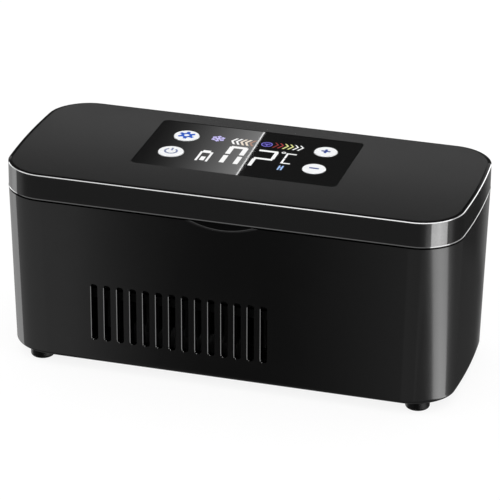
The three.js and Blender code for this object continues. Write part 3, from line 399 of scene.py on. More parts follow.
def finished_group(group, given, pattern, low, high, height):
    """The group, with colour and roughness passed along a pattern."""
    roughness = share_between(group, pattern, low, high, given["Smoothest"], given["Roughest"])
    colour = mixed(group, pattern, given["Dark"], given["Light"])
    result = group.nodes.new("NodeGroupOutput")
    fill(group, result, {"Colour": colour, "Roughness": roughness, "Height": height})
    return group


def grain_group():
    """Fine moulded grain with broad faint marks from handling."""
    group, given = effect_group("moulded grain", "NodeSocketFloat")
    place = add_node(group, "TexCoord", {}).outputs["Object"]
    grain_inputs = {"Vector": place, "Scale": given["Density"], "Detail": 4}
    grain = add_node(group, "TexNoise", grain_inputs).outputs["Fac"]
    mark_inputs = {"Vector": place, "Scale": 38, "Detail": 6, "Distortion": 0.6}
    marks = add_node(group, "TexNoise", mark_inputs).outputs["Fac"]
    both = calculated(group, "MULTIPLY_ADD", grain, 0.5, calculated(group, "MULTIPLY", marks, 0.5))
    return finished_group(group, given, both, 0.3, 0.7, grain)


def brushing_group():
    """Long fine scratches along one direction, as brushing or drawing leaves on metal."""
    group, given = effect_group("brushing", "NodeSocketVector")
    place = add_node(group, "TexCoord", {}).outputs["Object"]
    stretch = group.nodes.new("ShaderNodeVectorMath")
    stretch.operation = "MULTIPLY"
    fill(group, stretch, {0: place, 1: given["Density"]})
    scratch_inputs = {"Vector": stretch.outputs["Vector"], "Scale": 1, "Detail": 5}
    scratches = add_node(group, "TexNoise", scratch_inputs).outputs["Fac"]
    return finished_group(group, given, scratches, 0, 1, scratches)


def shared_effect(tree, group, inputs):
    node = tree.nodes.new("ShaderNodeGroup")
    node.node_tree = group
    fill(tree, node, inputs)
    return node.outputs


GRAIN = grain_group()
BRUSHING = brushing_group()


# Materials
def new_material(name, group, dark, light, density, roughness, relief, **settings):
    """A material whose colour, roughness and relief come from a shared effect."""
    material = bpy.data.materials.new(name)
    material.use_nodes = True
    tree = material.node_tree
    inputs = {"Dark": (*dark, 1), "Light": (*light, 1), "Density": density}
    inputs |= {"Smoothest": roughness[0], "Roughest": roughness[1]}
    effect = shared_effect(tree, group, inputs)
    relief_inputs = {"Strength": 1, "Distance": relief * MM, "Height": effect["Height"]}
    normal = add_node(tree, "Bump", relief_inputs).outputs["Normal"]
    surface = {"Base Color": effect["Colour"], "Roughness": effect["Roughness"], "Normal": normal}
    for label, value in settings.items():
        surface[label.replace("_", " ")] = value
    fill(tree, tree.nodes["Principled BSDF"], surface)
    return material


def grey(level):
    return (level, level, level)


DIMMEST_GLOW = 0.9


def lit_figure(name, colour):
    """A figure of the display that glows a little unevenly."""
    material = new_material(name, GRAIN, grey(0.002), grey(0.004), 900, (0.05, 0.09), 0)
    tree = material.node_tree
    dim_colour = [DIMMEST_GLOW * part for part in colour]
    inputs = {"Dark": (*dim_colour, 1), "Light": (*colour, 1), "Density": 700}
    glow = shared_effect(tree, GRAIN, inputs)["Colour"]
    fill(tree, tree.nodes["Principled BSDF"], {"Emission Color": glow, "Emission Strength": 1})
    return material


casing_gloss = new_material("casing gloss", GRAIN, grey(0.0008), grey(0.0016), 1400, (0.05, 0.09), 0)
lid_gloss = new_material("lid gloss", GRAIN, grey(0.0015), grey(0.003), 1400, (0.05, 0.09), 0)
lid_satin = new_material("lid satin", GRAIN, grey(0.006), grey(0.009), 5200, (0.15, 0.19), 0.002)
panel_gloss = new_material("panel gloss", GRAIN, grey(0.0008), grey(0.0016), 900, (0.015, 0.03), 0)
inner_plastic = new_material("inner plastic", GRAIN, grey(0.011), grey(0.021), 3800, (0.45, 0.62), 0.02)
foot_rubber = new_material(
    "foot rubber", GRAIN, grey(0.001), grey(0.003), 3000, (0.2, 0.3), 0.01, Specular_IOR_Level=0.12
)
gasket_silicone = new_material(
    "gasket silicone", GRAIN, (0.12, 0.13, 0.14), (0.16, 0.17, 0.18), 1800, (0.5, 0.65), 0.02
)
key_white = new_material("key white", GRAIN, (0.93, 0.94, 0.95), (0.96, 0.97, 0.98), 700, (0.2, 0.3), 0)
key_blue = new_material(
    "key print blue", GRAIN, (0.008, 0.08, 0.52), (0.016, 0.12, 0.64), 2600, (0.3, 0.4), 0
)
key_slate = new_material(
    "key print slate", GRAIN, (0.16, 0.2, 0.36), (0.2, 0.24, 0.4), 2600, (0.3, 0.4), 0
)
key_navy = new_material(
    "key print navy", GRAIN, (0.004, 0.03, 0.22), (0.008, 0.045, 0.28), 2600, (0.3, 0.4), 0
)

steel_zinc = new_material(
    "zinc plated steel", GRAIN, (0.4, 0.41, 0.43), (0.55, 0.56, 0.58), 2400, (0.22, 0.38), 0.01, Metallic=1
)
nickel_plate = new_material(
    "nickel plate", GRAIN, (0.58, 0.56, 0.52), (0.7, 0.68, 0.64), 1500, (0.1, 0.22), 0.004, Metallic=1
)
bearing_bronze = new_material(
    "bearing bronze", GRAIN, (0.32, 0.15, 0.035), (0.46, 0.23, 0.06), 5200, (0.35, 0.5), 0.02, Metallic=1
)
tray_aluminium = new_material(
    "tray aluminium", BRUSHING, (0.36, 0.37, 0.39), (0.5, 0.51, 0.53), (45, 1700, 1700), (0.3, 0.45), 0.008,
    Metallic=0.2,
)
block_aluminium = new_material(
    "block aluminium", BRUSHING, (0.45, 0.46, 0.48), (0.62, 0.63, 0.65), (1600, 60, 1600), (0.3, 0.45), 0.01,
    Metallic=1,
)
sink_anodised = new_material(
    "anodised heat sink", BRUSHING, grey(0.001), grey(0.004), (1400, 50, 1400), (0.6, 0.75), 0.01,
    Specular_IOR_Level=0.15,
)
peltier_ceramic = new_material(
    "cooler ceramic", GRAIN, (0.76, 0.75, 0.71), (0.86, 0.85, 0.81), 2600, (0.45, 0.6), 0.02
)
foam_black = new_material(
    "foam", GRAIN, grey(0.001), grey(0.004), 1300, (0.85, 0.95), 0.25, Specular_IOR_Level=0.15
)
cell_sleeve = new_material(
    "cell sleeve", GRAIN, (0.01, 0.09, 0.34), (0.02, 0.13, 0.43), 900, (0.25, 0.38), 0.01
)
lead_red = new_material("red lead", GRAIN, (0.36, 0.008, 0.008), (0.5, 0.012, 0.012), 2200, (0.4, 0.52), 0.01)
lead_black = new_material("black lead", GRAIN, grey(0.006), grey(0.012), 2200, (0.4, 0.52), 0.01)
display_glass = new_material(
    "display glass", GRAIN, grey(0.003), (0.005, 0.005, 0.008), 1200, (0.06, 0.12), 0
)


def effect_colour(material):
    """The colour that a material gets from its shared effect."""
    effect = next(node for node in material.node_tree.nodes if node.type == "GROUP")
    return effect.outputs["Colour"]


def board_material():
    """Green resist with paler copper tracks in rows and columns under it."""
    material = new_material(
        "circuit board", GRAIN, (0.005, 0.07, 0.02), (0.009, 0.1, 0.032), 1800, (0.35, 0.5), 0.01
    )
    tree = material.node_tree
    place = add_node(tree, "TexCoord", {}).outputs["Object"]
    resist = effect_colour(material)
    inputs = {"Vector": place, "Color1": resist, "Color2": resist, "Mortar": (0.04, 0.2, 0.07, 1)}
    inputs |= {"Scale": 260, "Mortar Size": 0.05, "Mortar Smooth": 0.2}
    tracks = add_node(tree, "TexBrick", inputs)
    fill(tree, tree.nodes["Principled BSDF"], {"Base Color": tracks.outputs["Color"]})
    return material


def ribbon_material():
    """White film with grey conductors running along the ribbon."""
    material = new_material(
        "ribbon film", GRAIN, (0.64, 0.64, 0.65), (0.76, 0.76, 0.77), 1500, (0.35, 0.5), 0.01
    )
    tree = material.node_tree
    place = add_node(tree, "TexCoord", {}).outputs["Object"]
    rows = add_node(tree, "TexWave", {"Vector": place, "Scale": 314})
    rows.bands_direction = "X"
    tone = mixed(tree, rows.outputs["Fac"], effect_colour(material), (0.4, 0.4, 0.42, 1))
    fill(tree, tree.nodes["Principled BSDF"], {"Base Color": tone})
    return material


board_green = board_material()
ribbon_film = ribbon_material()

figure_white = lit_figure("figure white", (1, 1, 1))
figure_cream = lit_figure("figure cream", (0.9, 0.8, 0.68))
figure_rose = lit_figure("figure rose", (0.42, 0.26, 0.2))
figure_lilac = lit_figure("figure lilac", (0.6, 0.55, 0.95))
figure_violet = lit_figure("figure violet", (0.2, 0.17, 0.66))
figure_indigo = lit_figure("figure indigo", (0.012, 0.008, 0.1))
figure_red = lit_figure("figure red", (0.36, 0.05, 0.05))
figure_dark_red = lit_figure("figure dark red", (0.24, 0.03, 0.03))
figure_yellow = lit_figure("figure yellow", (0.85, 0.86, 0.36))
figure_ice = lit_figure("figure ice", (0.42, 0.6, 0.95))


# Pieces of the object
CRISP_ANGLE = 14
SOFT_ANGLE = 30
FLAT_ANGLE = 0.5
EDGE_ANGLE = 40


def shade_evenly(item):
    """Lets the large faces keep their own shading where they meet small ones."""
    even = item.modifiers.new("even shading", "WEIGHTED_NORMAL")
    even.mode = "FACE_AREA"
    even.keep_sharp = True


def add_piece(name, form, body, materials, stands_for=(), sharp=SOFT_ANGLE):
    """A finished piece that rides on a CAD body and stands for CAD nodes."""
    mesh = mesh_of(name, form)
    mesh.transform(Matrix.Scale(MM, 4))
    mesh.shade_smooth()
    mesh.set_sharp_from_angle(angle=math.radians(sharp))
    for material in materials:
        mesh.materials.append(material)
    piece = placed(name, mesh)
    shade_evenly(piece)
    if body is not None:
        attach(piece, body)
    if stands_for:
        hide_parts(*stands_for)
    return piece


# Hinge forms
def hinge_groove():
    rise = GROOVE_REACH * GROOVE_SLOPE
    outer = HINGE_Y + GROOVE_REACH
    wedge = [(HINGE_Y, HINGE_Z), (outer, HINGE_Z - rise), (outer, HINGE_Z + rise)]
    ends = (-CASE_LENGTH, CASE_LENGTH)
    return loft([[(x, y, z) for y, z in wedge] for x in ends])


def hinge_rods(radius, length, offsets, edge=0.0):
    rods = []
    for side in (-1, 1):
        for offset in offsets:
            rods.append(rod_along_x(radius, length, side * HINGE_X + offset, HINGE_Y, HINGE_Z, edge))
    return rods


CASE_KNUCKLE_OFFSET = LID_KNUCKLE_LENGTH / 2 + KNUCKLE_GAP + CASE_KNUCKLE_LENGTH / 2
CASE_KNUCKLES = (-CASE_KNUCKLE_OFFSET, CASE_KNUCKLE_OFFSET)
HINGE_LENGTH = LID_KNUCKLE_LENGTH + 2 * (KNUCKLE_GAP + CASE_KNUCKLE_LENGTH)
RELIEF_RADIUS = KNUCKLE_RADIUS + KNUCKLE_GAP


def pin_holes():
    return hinge_rods(PIN_HOLE_RADIUS, HINGE_LENGTH + CUT_MARGIN, (0,))


# Outer casing
def draft_at(z):
    return BODY_DRAFT * (BODY_TOP - z) / (BODY_TOP - BODY_BOTTOM)


def vent_slot(x):
    """A slot's cutter, flared at its left edge and round its ends where the wall's face is reached."""
    height = VENT_HIGH - VENT_LOW
    middle = (x, (VENT_LOW + VENT_HIGH) / 2)
    flare = VENT_CHAMFER
    slot = rounded_rectangle(VENT_WIDTH, height, VENT_ROUNDING, middle, VENT_STEPS)
    rounding = VENT_ROUNDING + flare
    mouth = rounded_rectangle(VENT_WIDTH + 2 * flare, height + 2 * flare, rounding, middle, VENT_STEPS)

    def ring(depth, open_share):
        points = []
        for (slot_x, slot_z), (mouth_x, mouth_z) in zip(slot, mouth):
            share = open_share * min(max((x - slot_x) / VENT_FLARE_REACH, 0), 1)
            z = slot_z + share * (mouth_z - slot_z)
            points.append((slot_x + share * (mouth_x - slot_x), FRONT + draft_at(z) + depth, z))
        return points

    # Depth from the wall's face, and how far the slot is flared there: once at the face, twice before it
    levels = [(-CUT_MARGIN, 2), (-flare, 2), (flare, 0), (WALL + CUT_MARGIN, 0)]
    return loft([ring(depth, open_share) for depth, open_share in levels])


def finger_scoop():
    """A slice of a large sphere that meets the front face in an arc with a narrow sloping edge."""
    centre_z = SCOOP_LOWEST + SCOOP_ARC_RADIUS
    seam_distance = centre_z - HINGE_Z
    sphere_y = (SCOOP_ARC_RADIUS ** 2 - seam_distance ** 2 - SCOOP_DEPTH ** 2) / (2 * SCOOP_DEPTH)
    sphere_radius = math.hypot(SCOOP_ARC_RADIUS, sphere_y)
    deepest = SCOOP_DEPTH + CUT_MARGIN
    widest = SCOOP_ARC_RADIUS + SCOOP_EDGE_HEIGHT / 2
    profile = [(0, -CUT_MARGIN), (widest, -CUT_MARGIN), (widest, 0)]
    for step in range(SCOOP_STEPS + 1):
        depth = SCOOP_EDGE_DEPTH + (deepest - SCOOP_EDGE_DEPTH) * step / SCOOP_STEPS
        radius = math.sqrt(sphere_radius ** 2 - (sphere_y + depth) ** 2)
        profile.append((radius - SCOOP_EDGE_HEIGHT / 2, depth))
    profile.append((0, deepest))
    return moved(rotated(turned(profile, SCOOP_SIDES), "X", -90), 0, FRONT, centre_z)


def outer_casing():
    wall_low = BODY_BOTTOM + BODY_BOTTOM_ROUNDING
    levels = []
    for angle in quarter_angles():
        inset = draft_at(wall_low) + BODY_BOTTOM_ROUNDING * (1 - math.sin(angle))
        levels.append((inset, BODY_BOTTOM + BODY_BOTTOM_ROUNDING * (1 - math.cos(angle))))
    for z in (wall_low + WALL_SUPPORT, BODY_TOP - WALL_SUPPORT, BODY_TOP):
        levels.append((draft_at(z), z))
    rings = [at_height(case_outline(inset, CORNER_RADIUS), z) for inset, z in levels]
    rings.append(at_height(case_outline(WALL), BODY_TOP))
    rings.append(at_height(case_outline(BODY_DRAFT + WALL), BODY_BOTTOM))
    shell = loft(rings, closed=True)
    vents = [vent_slot(VENT_FIRST_X + i * VENT_PITCH) for i in range(VENT_COUNT)]
    socket = node_middle("charging_socket")
    hole_rear = CASE_DEPTH / 2 + CUT_MARGIN
    socket_hole = rod_along_y(SOCKET_HOLE_RADIUS, SOCKET_HOLE_FRONT, hole_rear, socket.x, socket.z)
    lid_reliefs = hinge_rods(RELIEF_RADIUS, LID_KNUCKLE_LENGTH + 2 * KNUCKLE_GAP, (0,))
    shell = cut(shell, together(*vents), finger_scoop(), socket_hole, hinge_groove(), together(*lid_reliefs))
    knuckles = hinge_rods(KNUCKLE_RADIUS, CASE_KNUCKLE_LENGTH, CASE_KNUCKLES, KNUCKLE_EDGE)
    return cut(joined(shell, *knuckles), *pin_holes())


add_piece(
    "casing_shell", outer_casing(), "case", [casing_gloss], ["outer_casing"], CRISP_ANGLE
)


# Lid
def lid_shell():
    middle = (PANEL_MIDDLE.x, PANEL_MIDDLE.y)
    lip_top = LID_BOTTOM + LID_LIP_HEIGHT
    shoulder_low = LID_TOP - SHOULDER_DROP
    shoulder_edge = BEVEL_WIDTH + SHOULDER_WIDTH
    plate_edge = shoulder_edge + GROOVE_WIDTH
    levels = [
        (LID_WALL, LID_CEILING),
        (LID_WALL, LID_BOTTOM),
        (-LID_LIP_FLARE, LID_BOTTOM),
        (0, lip_top),
        (0, lip_top + WALL_SUPPORT),
        (0, shoulder_low - BEVEL_WIDTH - WALL_SUPPORT),
        (0, shoulder_low - BEVEL_WIDTH),
        (BEVEL_WIDTH, shoulder_low),
        (shoulder_edge, LID_TOP),
        (shoulder_edge, LID_TOP - GROOVE_DEPTH),
        (plate_edge, LID_TOP - GROOVE_DEPTH),
        (plate_edge, LID_TOP),
        (plate_edge + WALL_SUPPORT, LID_TOP),
    ]
    shell = loft([at_height(case_outline(inset), z) for inset, z in levels])
    length = PANEL_LENGTH - 2 * PANEL_LEDGE
    depth = PANEL_DEPTH - 2 * PANEL_LEDGE
    recess_radius = PANEL_RADIUS + FIT_GAP / 2
    recess = rounded_rectangle(PANEL_LENGTH + FIT_GAP, PANEL_DEPTH + FIT_GAP, recess_radius, middle)
    opening = rounded_rectangle(length, depth, PANEL_OPENING_RADIUS, middle)
    above = LID_TOP + CUT_MARGIN
    case_reliefs = hinge_rods(RELIEF_RADIUS, CASE_KNUCKLE_LENGTH + 2 * KNUCKLE_GAP, CASE_KNUCKLES)
    shell = cut(
        shell,
        prism(recess, PANEL_BOTTOM - PANEL_SEAT_GAP, above),
        prism(opening, LID_CEILING - CUT_MARGIN, above),
        hinge_groove(),
        together(*case_reliefs),
    )
    knuckles = hinge_rods(KNUCKLE_RADIUS, LID_KNUCKLE_LENGTH, (0,), KNUCKLE_EDGE)
    return cut(joined(shell, *knuckles), *pin_holes())


# The flat top is satin and the rest polished
LEVEL_FACE = 0.99
TOP_FACE_MARGIN = 0.01
lid = add_piece(
    "lid_body", lid_shell(), "lid", [lid_gloss, lid_satin], ["lid_shell"], CRISP_ANGLE
)
for face in lid.data.polygons:
    if face.normal.z > LEVEL_FACE and face.center.z > (LID_TOP - TOP_FACE_MARGIN) * MM:
        face.material_index = 1


# Panel and keys
KEYS = ("mode", "power", "plus", "minus")


def key_place(name):
    """Middle of a key and the radius of its cap."""
    low, high = node_box(name + "_button")
    return (low.x + high.x) / 2, (low.y + high.y) / 2, (high.x - low.x) / 2 - KEY_FLANGE


def display_window():
    middle = (PANEL_MIDDLE.x, PANEL_MIDDLE.y)
    rings = []
    for inset, z in rounded_levels(PANEL_BOTTOM, PANEL_TOP, PANEL_EDGE, PANEL_EDGE, PANEL_EDGE_STEPS):
        length = PANEL_LENGTH - 2 * inset
        depth = PANEL_DEPTH - 2 * inset
        rings.append(at_height(rounded_rectangle(length, depth, PANEL_RADIUS - inset, middle), z))
    holes = []
    for name in KEYS:
        x, y, radius = key_place(name)
        hole = circle(radius + FIT_GAP, (x, y), KEY_SIDES)
        holes.append(prism(hole, PANEL_BOTTOM - CUT_MARGIN, PANEL_TOP + CUT_MARGIN))
    return cut(loft(rings), together(*holes))


panel = add_piece("display_panel", display_window(), "lid", [panel_gloss], ["display_window"])


def key_cap(name):
    x, y, radius = key_place(name)
    low, high = node_box(name + "_button")
    flange = radius + KEY_FLANGE
    profile = [(0, low.z), (flange, low.z), (flange, KEY_FLANGE_TOP), (radius, KEY_FLANGE_TOP)]
    for inset, z in rounded_levels(KEY_FLANGE_TOP, high.z, 0, KEY_EDGE)[ROUNDING_STEPS + 1:]:
        profile.append((radius - inset, z))
    profile += [(radius - KEY_EDGE - KEY_TOP_SUPPORT, high.z), (0, high.z)]
    return moved(turned(profile, KEY_SIDES), x, y)


for name in KEYS:
    add_piece(name + "_key", key_cap(name), name + "_button", [key_white], [name + "_button"])


# Figures and symbols, as thin inlays
def bar(start, end, width):
    """Outline of a straight bar with square ends."""
    along = (Vector(end) - Vector(start)).normalized()
    side = Vector((-along.y, along.x)) * width / 2
    corners = [Vector(start) - side, Vector(end) - side, Vector(end) + side, Vector(start) + side]
    return [tuple(corner) for corner in corners]


def arc_band(centre, radius, width, start, end, steps=40):
    """Outline of a curved band between two angles in degrees."""
    angles = [math.radians(start + (end - start) * step / steps) for step in range(steps + 1)]
    edges = []
    for reach in (radius + width / 2, radius - width / 2):
        edges.append([(centre[0] + reach * math.cos(a), centre[1] + reach * math.sin(a)) for a in angles])
    outer, inner = edges
    return outer + inner[::-1]


CHEVRON_SLANT = 1.6


def chevron(tip, y, direction, width, rise, fall):
    """Outline of an arrow mark whose tip points along direction, with an upper and a lower arm."""
    notch = tip - direction * width
    back = tip - direction * CHEVRON_SLANT
    rear = notch - direction * CHEVRON_SLANT
    return [(tip, y), (back, y + rise), (rear, y + rise), (notch, y), (rear, y - fall), (back, y - fall)]


FLAKE_ARMS = 6
FLAKE_START = 30
BRANCH_TURN = 50
BRANCH_ROOT = 0.55


def arm_angle(arm):
    return math.radians(360 / FLAKE_ARMS * arm + FLAKE_START)


def flake(centre, radius, width, fork):
    """Outlines of a six-armed snowflake."""
    outlines = []
    for arm in range(FLAKE_ARMS):
        angle = arm_angle(arm)
        along = Vector((math.cos(angle), math.sin(angle)))
        middle = Vector(centre)
        outlines.append(bar(middle, middle + along * radius, width))
        for turn in (-BRANCH_TURN, BRANCH_TURN):
            branch_angle = angle + math.radians(turn)
            branch = Vector((math.cos(branch_angle), math.sin(branch_angle)))
            root = middle + along * radius * BRANCH_ROOT
            outlines.append(bar(root, root + branch * fork, width))
    return outlines


def inlay(name, outlines, body, material, low):
    """Outlines raised a little above the surface they are printed on or shine through."""
    forms = [prism(outline, low, low + FIGURE_THICKNESS) for outline in outlines]
    return add_piece(name, joined(*forms), body, [material])


def panel_figure(name, outlines, material):
    return inlay(name, outlines, "lid", material, PANEL_TOP)


DIGIT_WIDTH = 2.1
SEGMENT_GAP = 0.85
SEGMENT_INSET = 0.3


def segments(left, right, low, high, lit, width=DIGIT_WIDTH):
    """Outlines of the lit bars of a seven-bar figure."""
    half = width / 2
    middle = (low + high) / 2
    upper = (middle + SEGMENT_GAP, high - SEGMENT_GAP)
    lower = (low + SEGMENT_GAP, middle - SEGMENT_GAP)
    across = (left + width * SEGMENT_INSET, right - width * SEGMENT_INSET)
    bars = {
        "top": ((across[0], high - half), (across[1], high - half)),
        "middle": ((across[0], middle), (across[1], middle)),
        "upper_left": ((left + half, upper[0]), (left + half, upper[1])),
        "upper_right": ((right - half, upper[0]), (right - half, upper[1])),
        "lower_left": ((left + half, lower[0]), (left + half, lower[1])),
        "lower_right": ((right - half, lower[0]), (right - half, lower[1])),
    }
    return [bar(*bars[label], width) for label in lit]


# Display figures, where each bar of a mark has a start, an end and a width
NOUGHT = ("top", "upper_left", "upper_right", "lower_left", "lower_right")
TWO = ("top", "upper_right", "middle", "lower_left")
CELSIUS_BARS = (
    ((13.1, 11.4), (17.6, 11.4), 0.9),
    ((13.6, 11.2), (13.6, 6.5), 0.9),
    ((13.6, 6), (13.6, 1.2), 0.9),
    ((13.15, 1), (17.4, 1), 0.9),
)
BATTERY_BARS = (
    ((-22.3, -7), (-22.3, 3), 1),
    ((-17.7, -7), (-17.7, 3), 1),
    ((-22.8, 2.6), (-17.2, 2.6), 1.1),
    ((-22, 3.9), (-18.6, 3.9), 1.4),
    ((-21, -4.2), (-19, -4.2), 4),
)
SUPPLY_BARS = (
    ((13.9, -2), (13.9, -6.5), 0.7),
    ((15.3, -2), (15.3, -6.5), 0.7),
    ((13.6, -4.2), (15.6, -4.2), 0.7),
)
FAN_MARK = (2.2, 18.7)
FAN_BLADES = ((1.3, 0.8), (-1.2, 0.4), (0.2, -1.3))
FAN_BLADE_WIDTH = 0.6
# Rings stop short of a full turn, so that their outline doesn't meet itself
RING_END = 356
nought = segments(left=-12.3, right=-4, low=-6.8, high=12.6, lit=NOUGHT)
two = segments(left=0.4, right=9.6, low=-6.5, high=12.4, lit=TWO, width=1.6)
degree = arc_band(centre=(11.7, 12), radius=0.75, width=0.45, start=0, end=350)
cooling = flake(centre=(-19.7, 18.6), radius=3.1, width=0.7, fork=1.2)
fan = [arc_band(centre=FAN_MARK, radius=2.3, width=0.45, start=0, end=RING_END)]
for reach, rise in FAN_BLADES:
    fan.append(bar(FAN_MARK, (FAN_MARK[0] + reach, FAN_MARK[1] + rise), FAN_BLADE_WIDTH))
fan_field = circle(radius=2, centre=FAN_MARK)
panel_figure("figure_nought", nought, figure_white)
panel_figure("figure_two", two, figure_white)
panel_figure("degree_ring", [degree], figure_white)
panel_figure("celsius_mark", [bar(*part) for part in CELSIUS_BARS], figure_white)
panel_figure("battery_mark", [bar(*part) for part in BATTERY_BARS], figure_white)
panel_figure("cooling_mark", cooling, figure_lilac)
panel_figure("fan_mark", fan, figure_violet)
inlay("fan_mark_field", [fan_field], "lid", figure_indigo, PANEL_TOP - FIGURE_THICKNESS / 2)
panel_figure("supply_mark", [bar(*part) for part in SUPPLY_BARS], figure_ice)

LEFT_START = (-13.7, 18)
LEFT_PITCH = 2.05
LEFT_CHEVRONS = (figure_white, figure_white, figure_cream, figure_cream, figure_rose)
RIGHT_START = (7.4, 19.5)
RIGHT_PITCH = 2.24
RIGHT_CHEVRONS = (figure_dark_red, figure_red, figure_yellow, figure_yellow, figure_white, figure_white)
for i, material in enumerate(LEFT_CHEVRONS):
    tip = LEFT_START[0] + i * LEFT_PITCH
    mark = chevron(tip, LEFT_START[1], direction=-1, width=1, rise=3.2, fall=3.2)
    panel_figure(f"left_chevron_{i}", [mark], material)
for i, material in enumerate(RIGHT_CHEVRONS):
    tip = RIGHT_START[0] + i * RIGHT_PITCH
    mark = chevron(tip, RIGHT_START[1], direction=1, width=0.7, rise=2.1, fall=3.4)
    panel_figure(f"right_chevron_{i}", [mark], material)


# Symbols printed on the keys
def key_symbol(name, outlines, material):
    top = node_box(name + "_button")[1].z
    return inlay(name + "_symbol", outlines, name + "_button", material, top)


mode_x, mode_y, _ = key_place("mode")
power_x, power_y, _ = key_place("power")
plus_x, plus_y, _ = key_place("plus")
minus_x, minus_y, _ = key_place("minus")
MODE_RING_RADIUS = 1.8
MODE_RING_WIDTH = 1.25
MODE_ARM_REACH = 3.8
MODE_ARM_WIDTH = 1.5
POWER_WIDTH = 0.8
POWER_BAR_LOW = 0.6
POWER_BAR_HIGH = 3.4
SIGN_WIDTH = 1.1
PLUS_REACH = 2
MINUS_REACH = 2.1
mode_flake = [arc_band((mode_x, mode_y), MODE_RING_RADIUS, MODE_RING_WIDTH, 0, RING_END)]
for arm in range(FLAKE_ARMS):
    along = Vector((math.cos(arm_angle(arm)), math.sin(arm_angle(arm))))
    middle = Vector((mode_x, mode_y))
    mode_flake.append(bar(middle + MODE_RING_RADIUS * along, middle + MODE_ARM_REACH * along, MODE_ARM_WIDTH))
key_symbol("mode", mode_flake, key_blue)
power_ring = [arc_band((power_x, power_y), radius=2.6, width=POWER_WIDTH, start=125, end=415)]
power_bar = [(power_x, power_y + height) for height in (POWER_BAR_LOW, POWER_BAR_HIGH)]
power_ring.append(bar(*power_bar, POWER_WIDTH))
key_symbol("power", power_ring, key_slate)
plus_bars = [bar((plus_x - PLUS_REACH, plus_y), (plus_x + PLUS_REACH, plus_y), SIGN_WIDTH)]
plus_bars.append(bar((plus_x, plus_y - PLUS_REACH), (plus_x, plus_y + PLUS_REACH), SIGN_WIDTH))
key_symbol("plus", plus_bars, key_navy)
minus_bar = bar((minus_x - MINUS_REACH, minus_y), (minus_x + MINUS_REACH, minus_y), SIGN_WIDTH)
key_symbol("minus", [minus_bar], key_navy)


# Feet
CORNERS = ("front_left", "front_right", "rear_left", "rear_right")
FOOT_BORE = 1.7
FOOT_HEAD_BORE = 2.9
FOOT_HEAD_SEAT = 2.6
FOOT_MOUTH_EDGE = 0.25
FOOT_MOUTH_RADIUS = 3.1
FOOT_ROUNDING = 1.2
FOOT_TOP_EDGE = 0.3


def rubber_foot(corner):
    low, high = node_box("foot_" + corner)
    radius = (high.x - low.x) / 2
    middle = node_middle("foot_" + corner)
    profile = [(FOOT_BORE, high.z), (FOOT_BORE, FOOT_HEAD_SEAT), (FOOT_HEAD_BORE, FOOT_HEAD_SEAT)]
    profile += [(FOOT_HEAD_BORE, FOOT_MOUTH_EDGE), (FOOT_MOUTH_RADIUS, 0)]
    for angle in quarter_angles():
        inset = FOOT_ROUNDING * (1 - math.sin(angle))
        profile.append((radius - inset, FOOT_ROUNDING * (1 - math.cos(angle))))
    profile += [(radius, high.z - FOOT_TOP_EDGE), (radius - FOOT_TOP_EDGE, high.z)]
    return moved(turned(profile, closed=True), middle.x, middle.y)


for corner in CORNERS:
    node = "foot_" + corner
    add_piece(node + "_bun", rubber_foot(corner), "case", [foot_rubber], [node])


# Cold tray and gasket
def tray_outline(outset):
    return rounded_rectangle(TRAY_LENGTH + 2 * outset, TRAY_DEPTH + 2 * outset, TRAY_RADIUS + outset)


def quarter_turn(centre, radius, start):
    """Points of a quarter circle from an angle in degrees, turning anticlockwise."""
    points = []
    for step in range(ROUNDING_STEPS + 1):
        angle = math.radians(start + 90 * step / ROUNDING_STEPS)
        points.append((centre[0] + radius * math.cos(angle), centre[1] + radius * math.sin(angle)))
    return points


def cold_tray():
    """A pressed tray with a rounded floor and a rolled flange, as outsets and heights round its section."""
    low, high = node_box("cold_tray")
    flange_low = high.z - TRAY_FLANGE_THICKNESS
    floor = low.z + TRAY_WALL
    roll = TRAY_FLANGE_THICKNESS / 2
    fillet = TRAY_FLOOR_ROUNDING
    section = [(-fillet - TRAY_WALL, low.z)]
    section += quarter_turn((-fillet, low.z + fillet), fillet, 270)
    section += [(0, flange_low)]
    section += quarter_turn((TRAY_FLANGE - roll, flange_low + roll), roll, 270)
    section += quarter_turn((TRAY_FLANGE - roll, flange_low + roll), roll, 0)
    section += quarter_turn((-TRAY_WALL + roll, high.z - roll), roll, 90)
    section += [(-TRAY_WALL, floor + fillet)]
    section += quarter_turn((-TRAY_WALL - fillet, floor + fillet), fillet, 270)[::-1]
    return loft([at_height(tray_outline(outset), z) for outset, z in section])


add_piece("cooling_tray", cold_tray(), "case", [tray_aluminium], ["cold_tray"])


def lid_gasket():
    low, high = node_box("lid_gasket")
    middle = GASKET_INNER + GASKET_WIDTH / 2
    half = GASKET_WIDTH / 2
    section = []
    for step in range(GASKET_STEPS):
        angle = 2 * math.pi * step / GASKET_STEPS
        height = (low.z + high.z) / 2 + (high.z - low.z) / 2 * math.sin(angle)
        section.append((middle + half * math.cos(angle), height))
    return loft([at_height(tray_outline(outset), z) for outset, z in section], closed=True)


add_piece("lid_seal", lid_gasket(), "lid", [gasket_silicone], ["lid_gasket"])


# Screws with a cross recess in a head that faces down
RECESS_LENGTH = 2.9
RECESS_WIDTH = 0.75
RECESS_DEPTH = 0.9
RECESS_ROUNDING = RECESS_WIDTH / 3
RECESS_STEPS = 4
SCREW_EDGE = 0.3
FOOT_SCREW = {"head_radius": 2.5, "head_height": 1.7, "shank": 1.3, "countersunk": False}
LID_SCREW = {"head_radius": 2.4, "head_height": 1.3, "shank": 1.2, "countersunk": True}


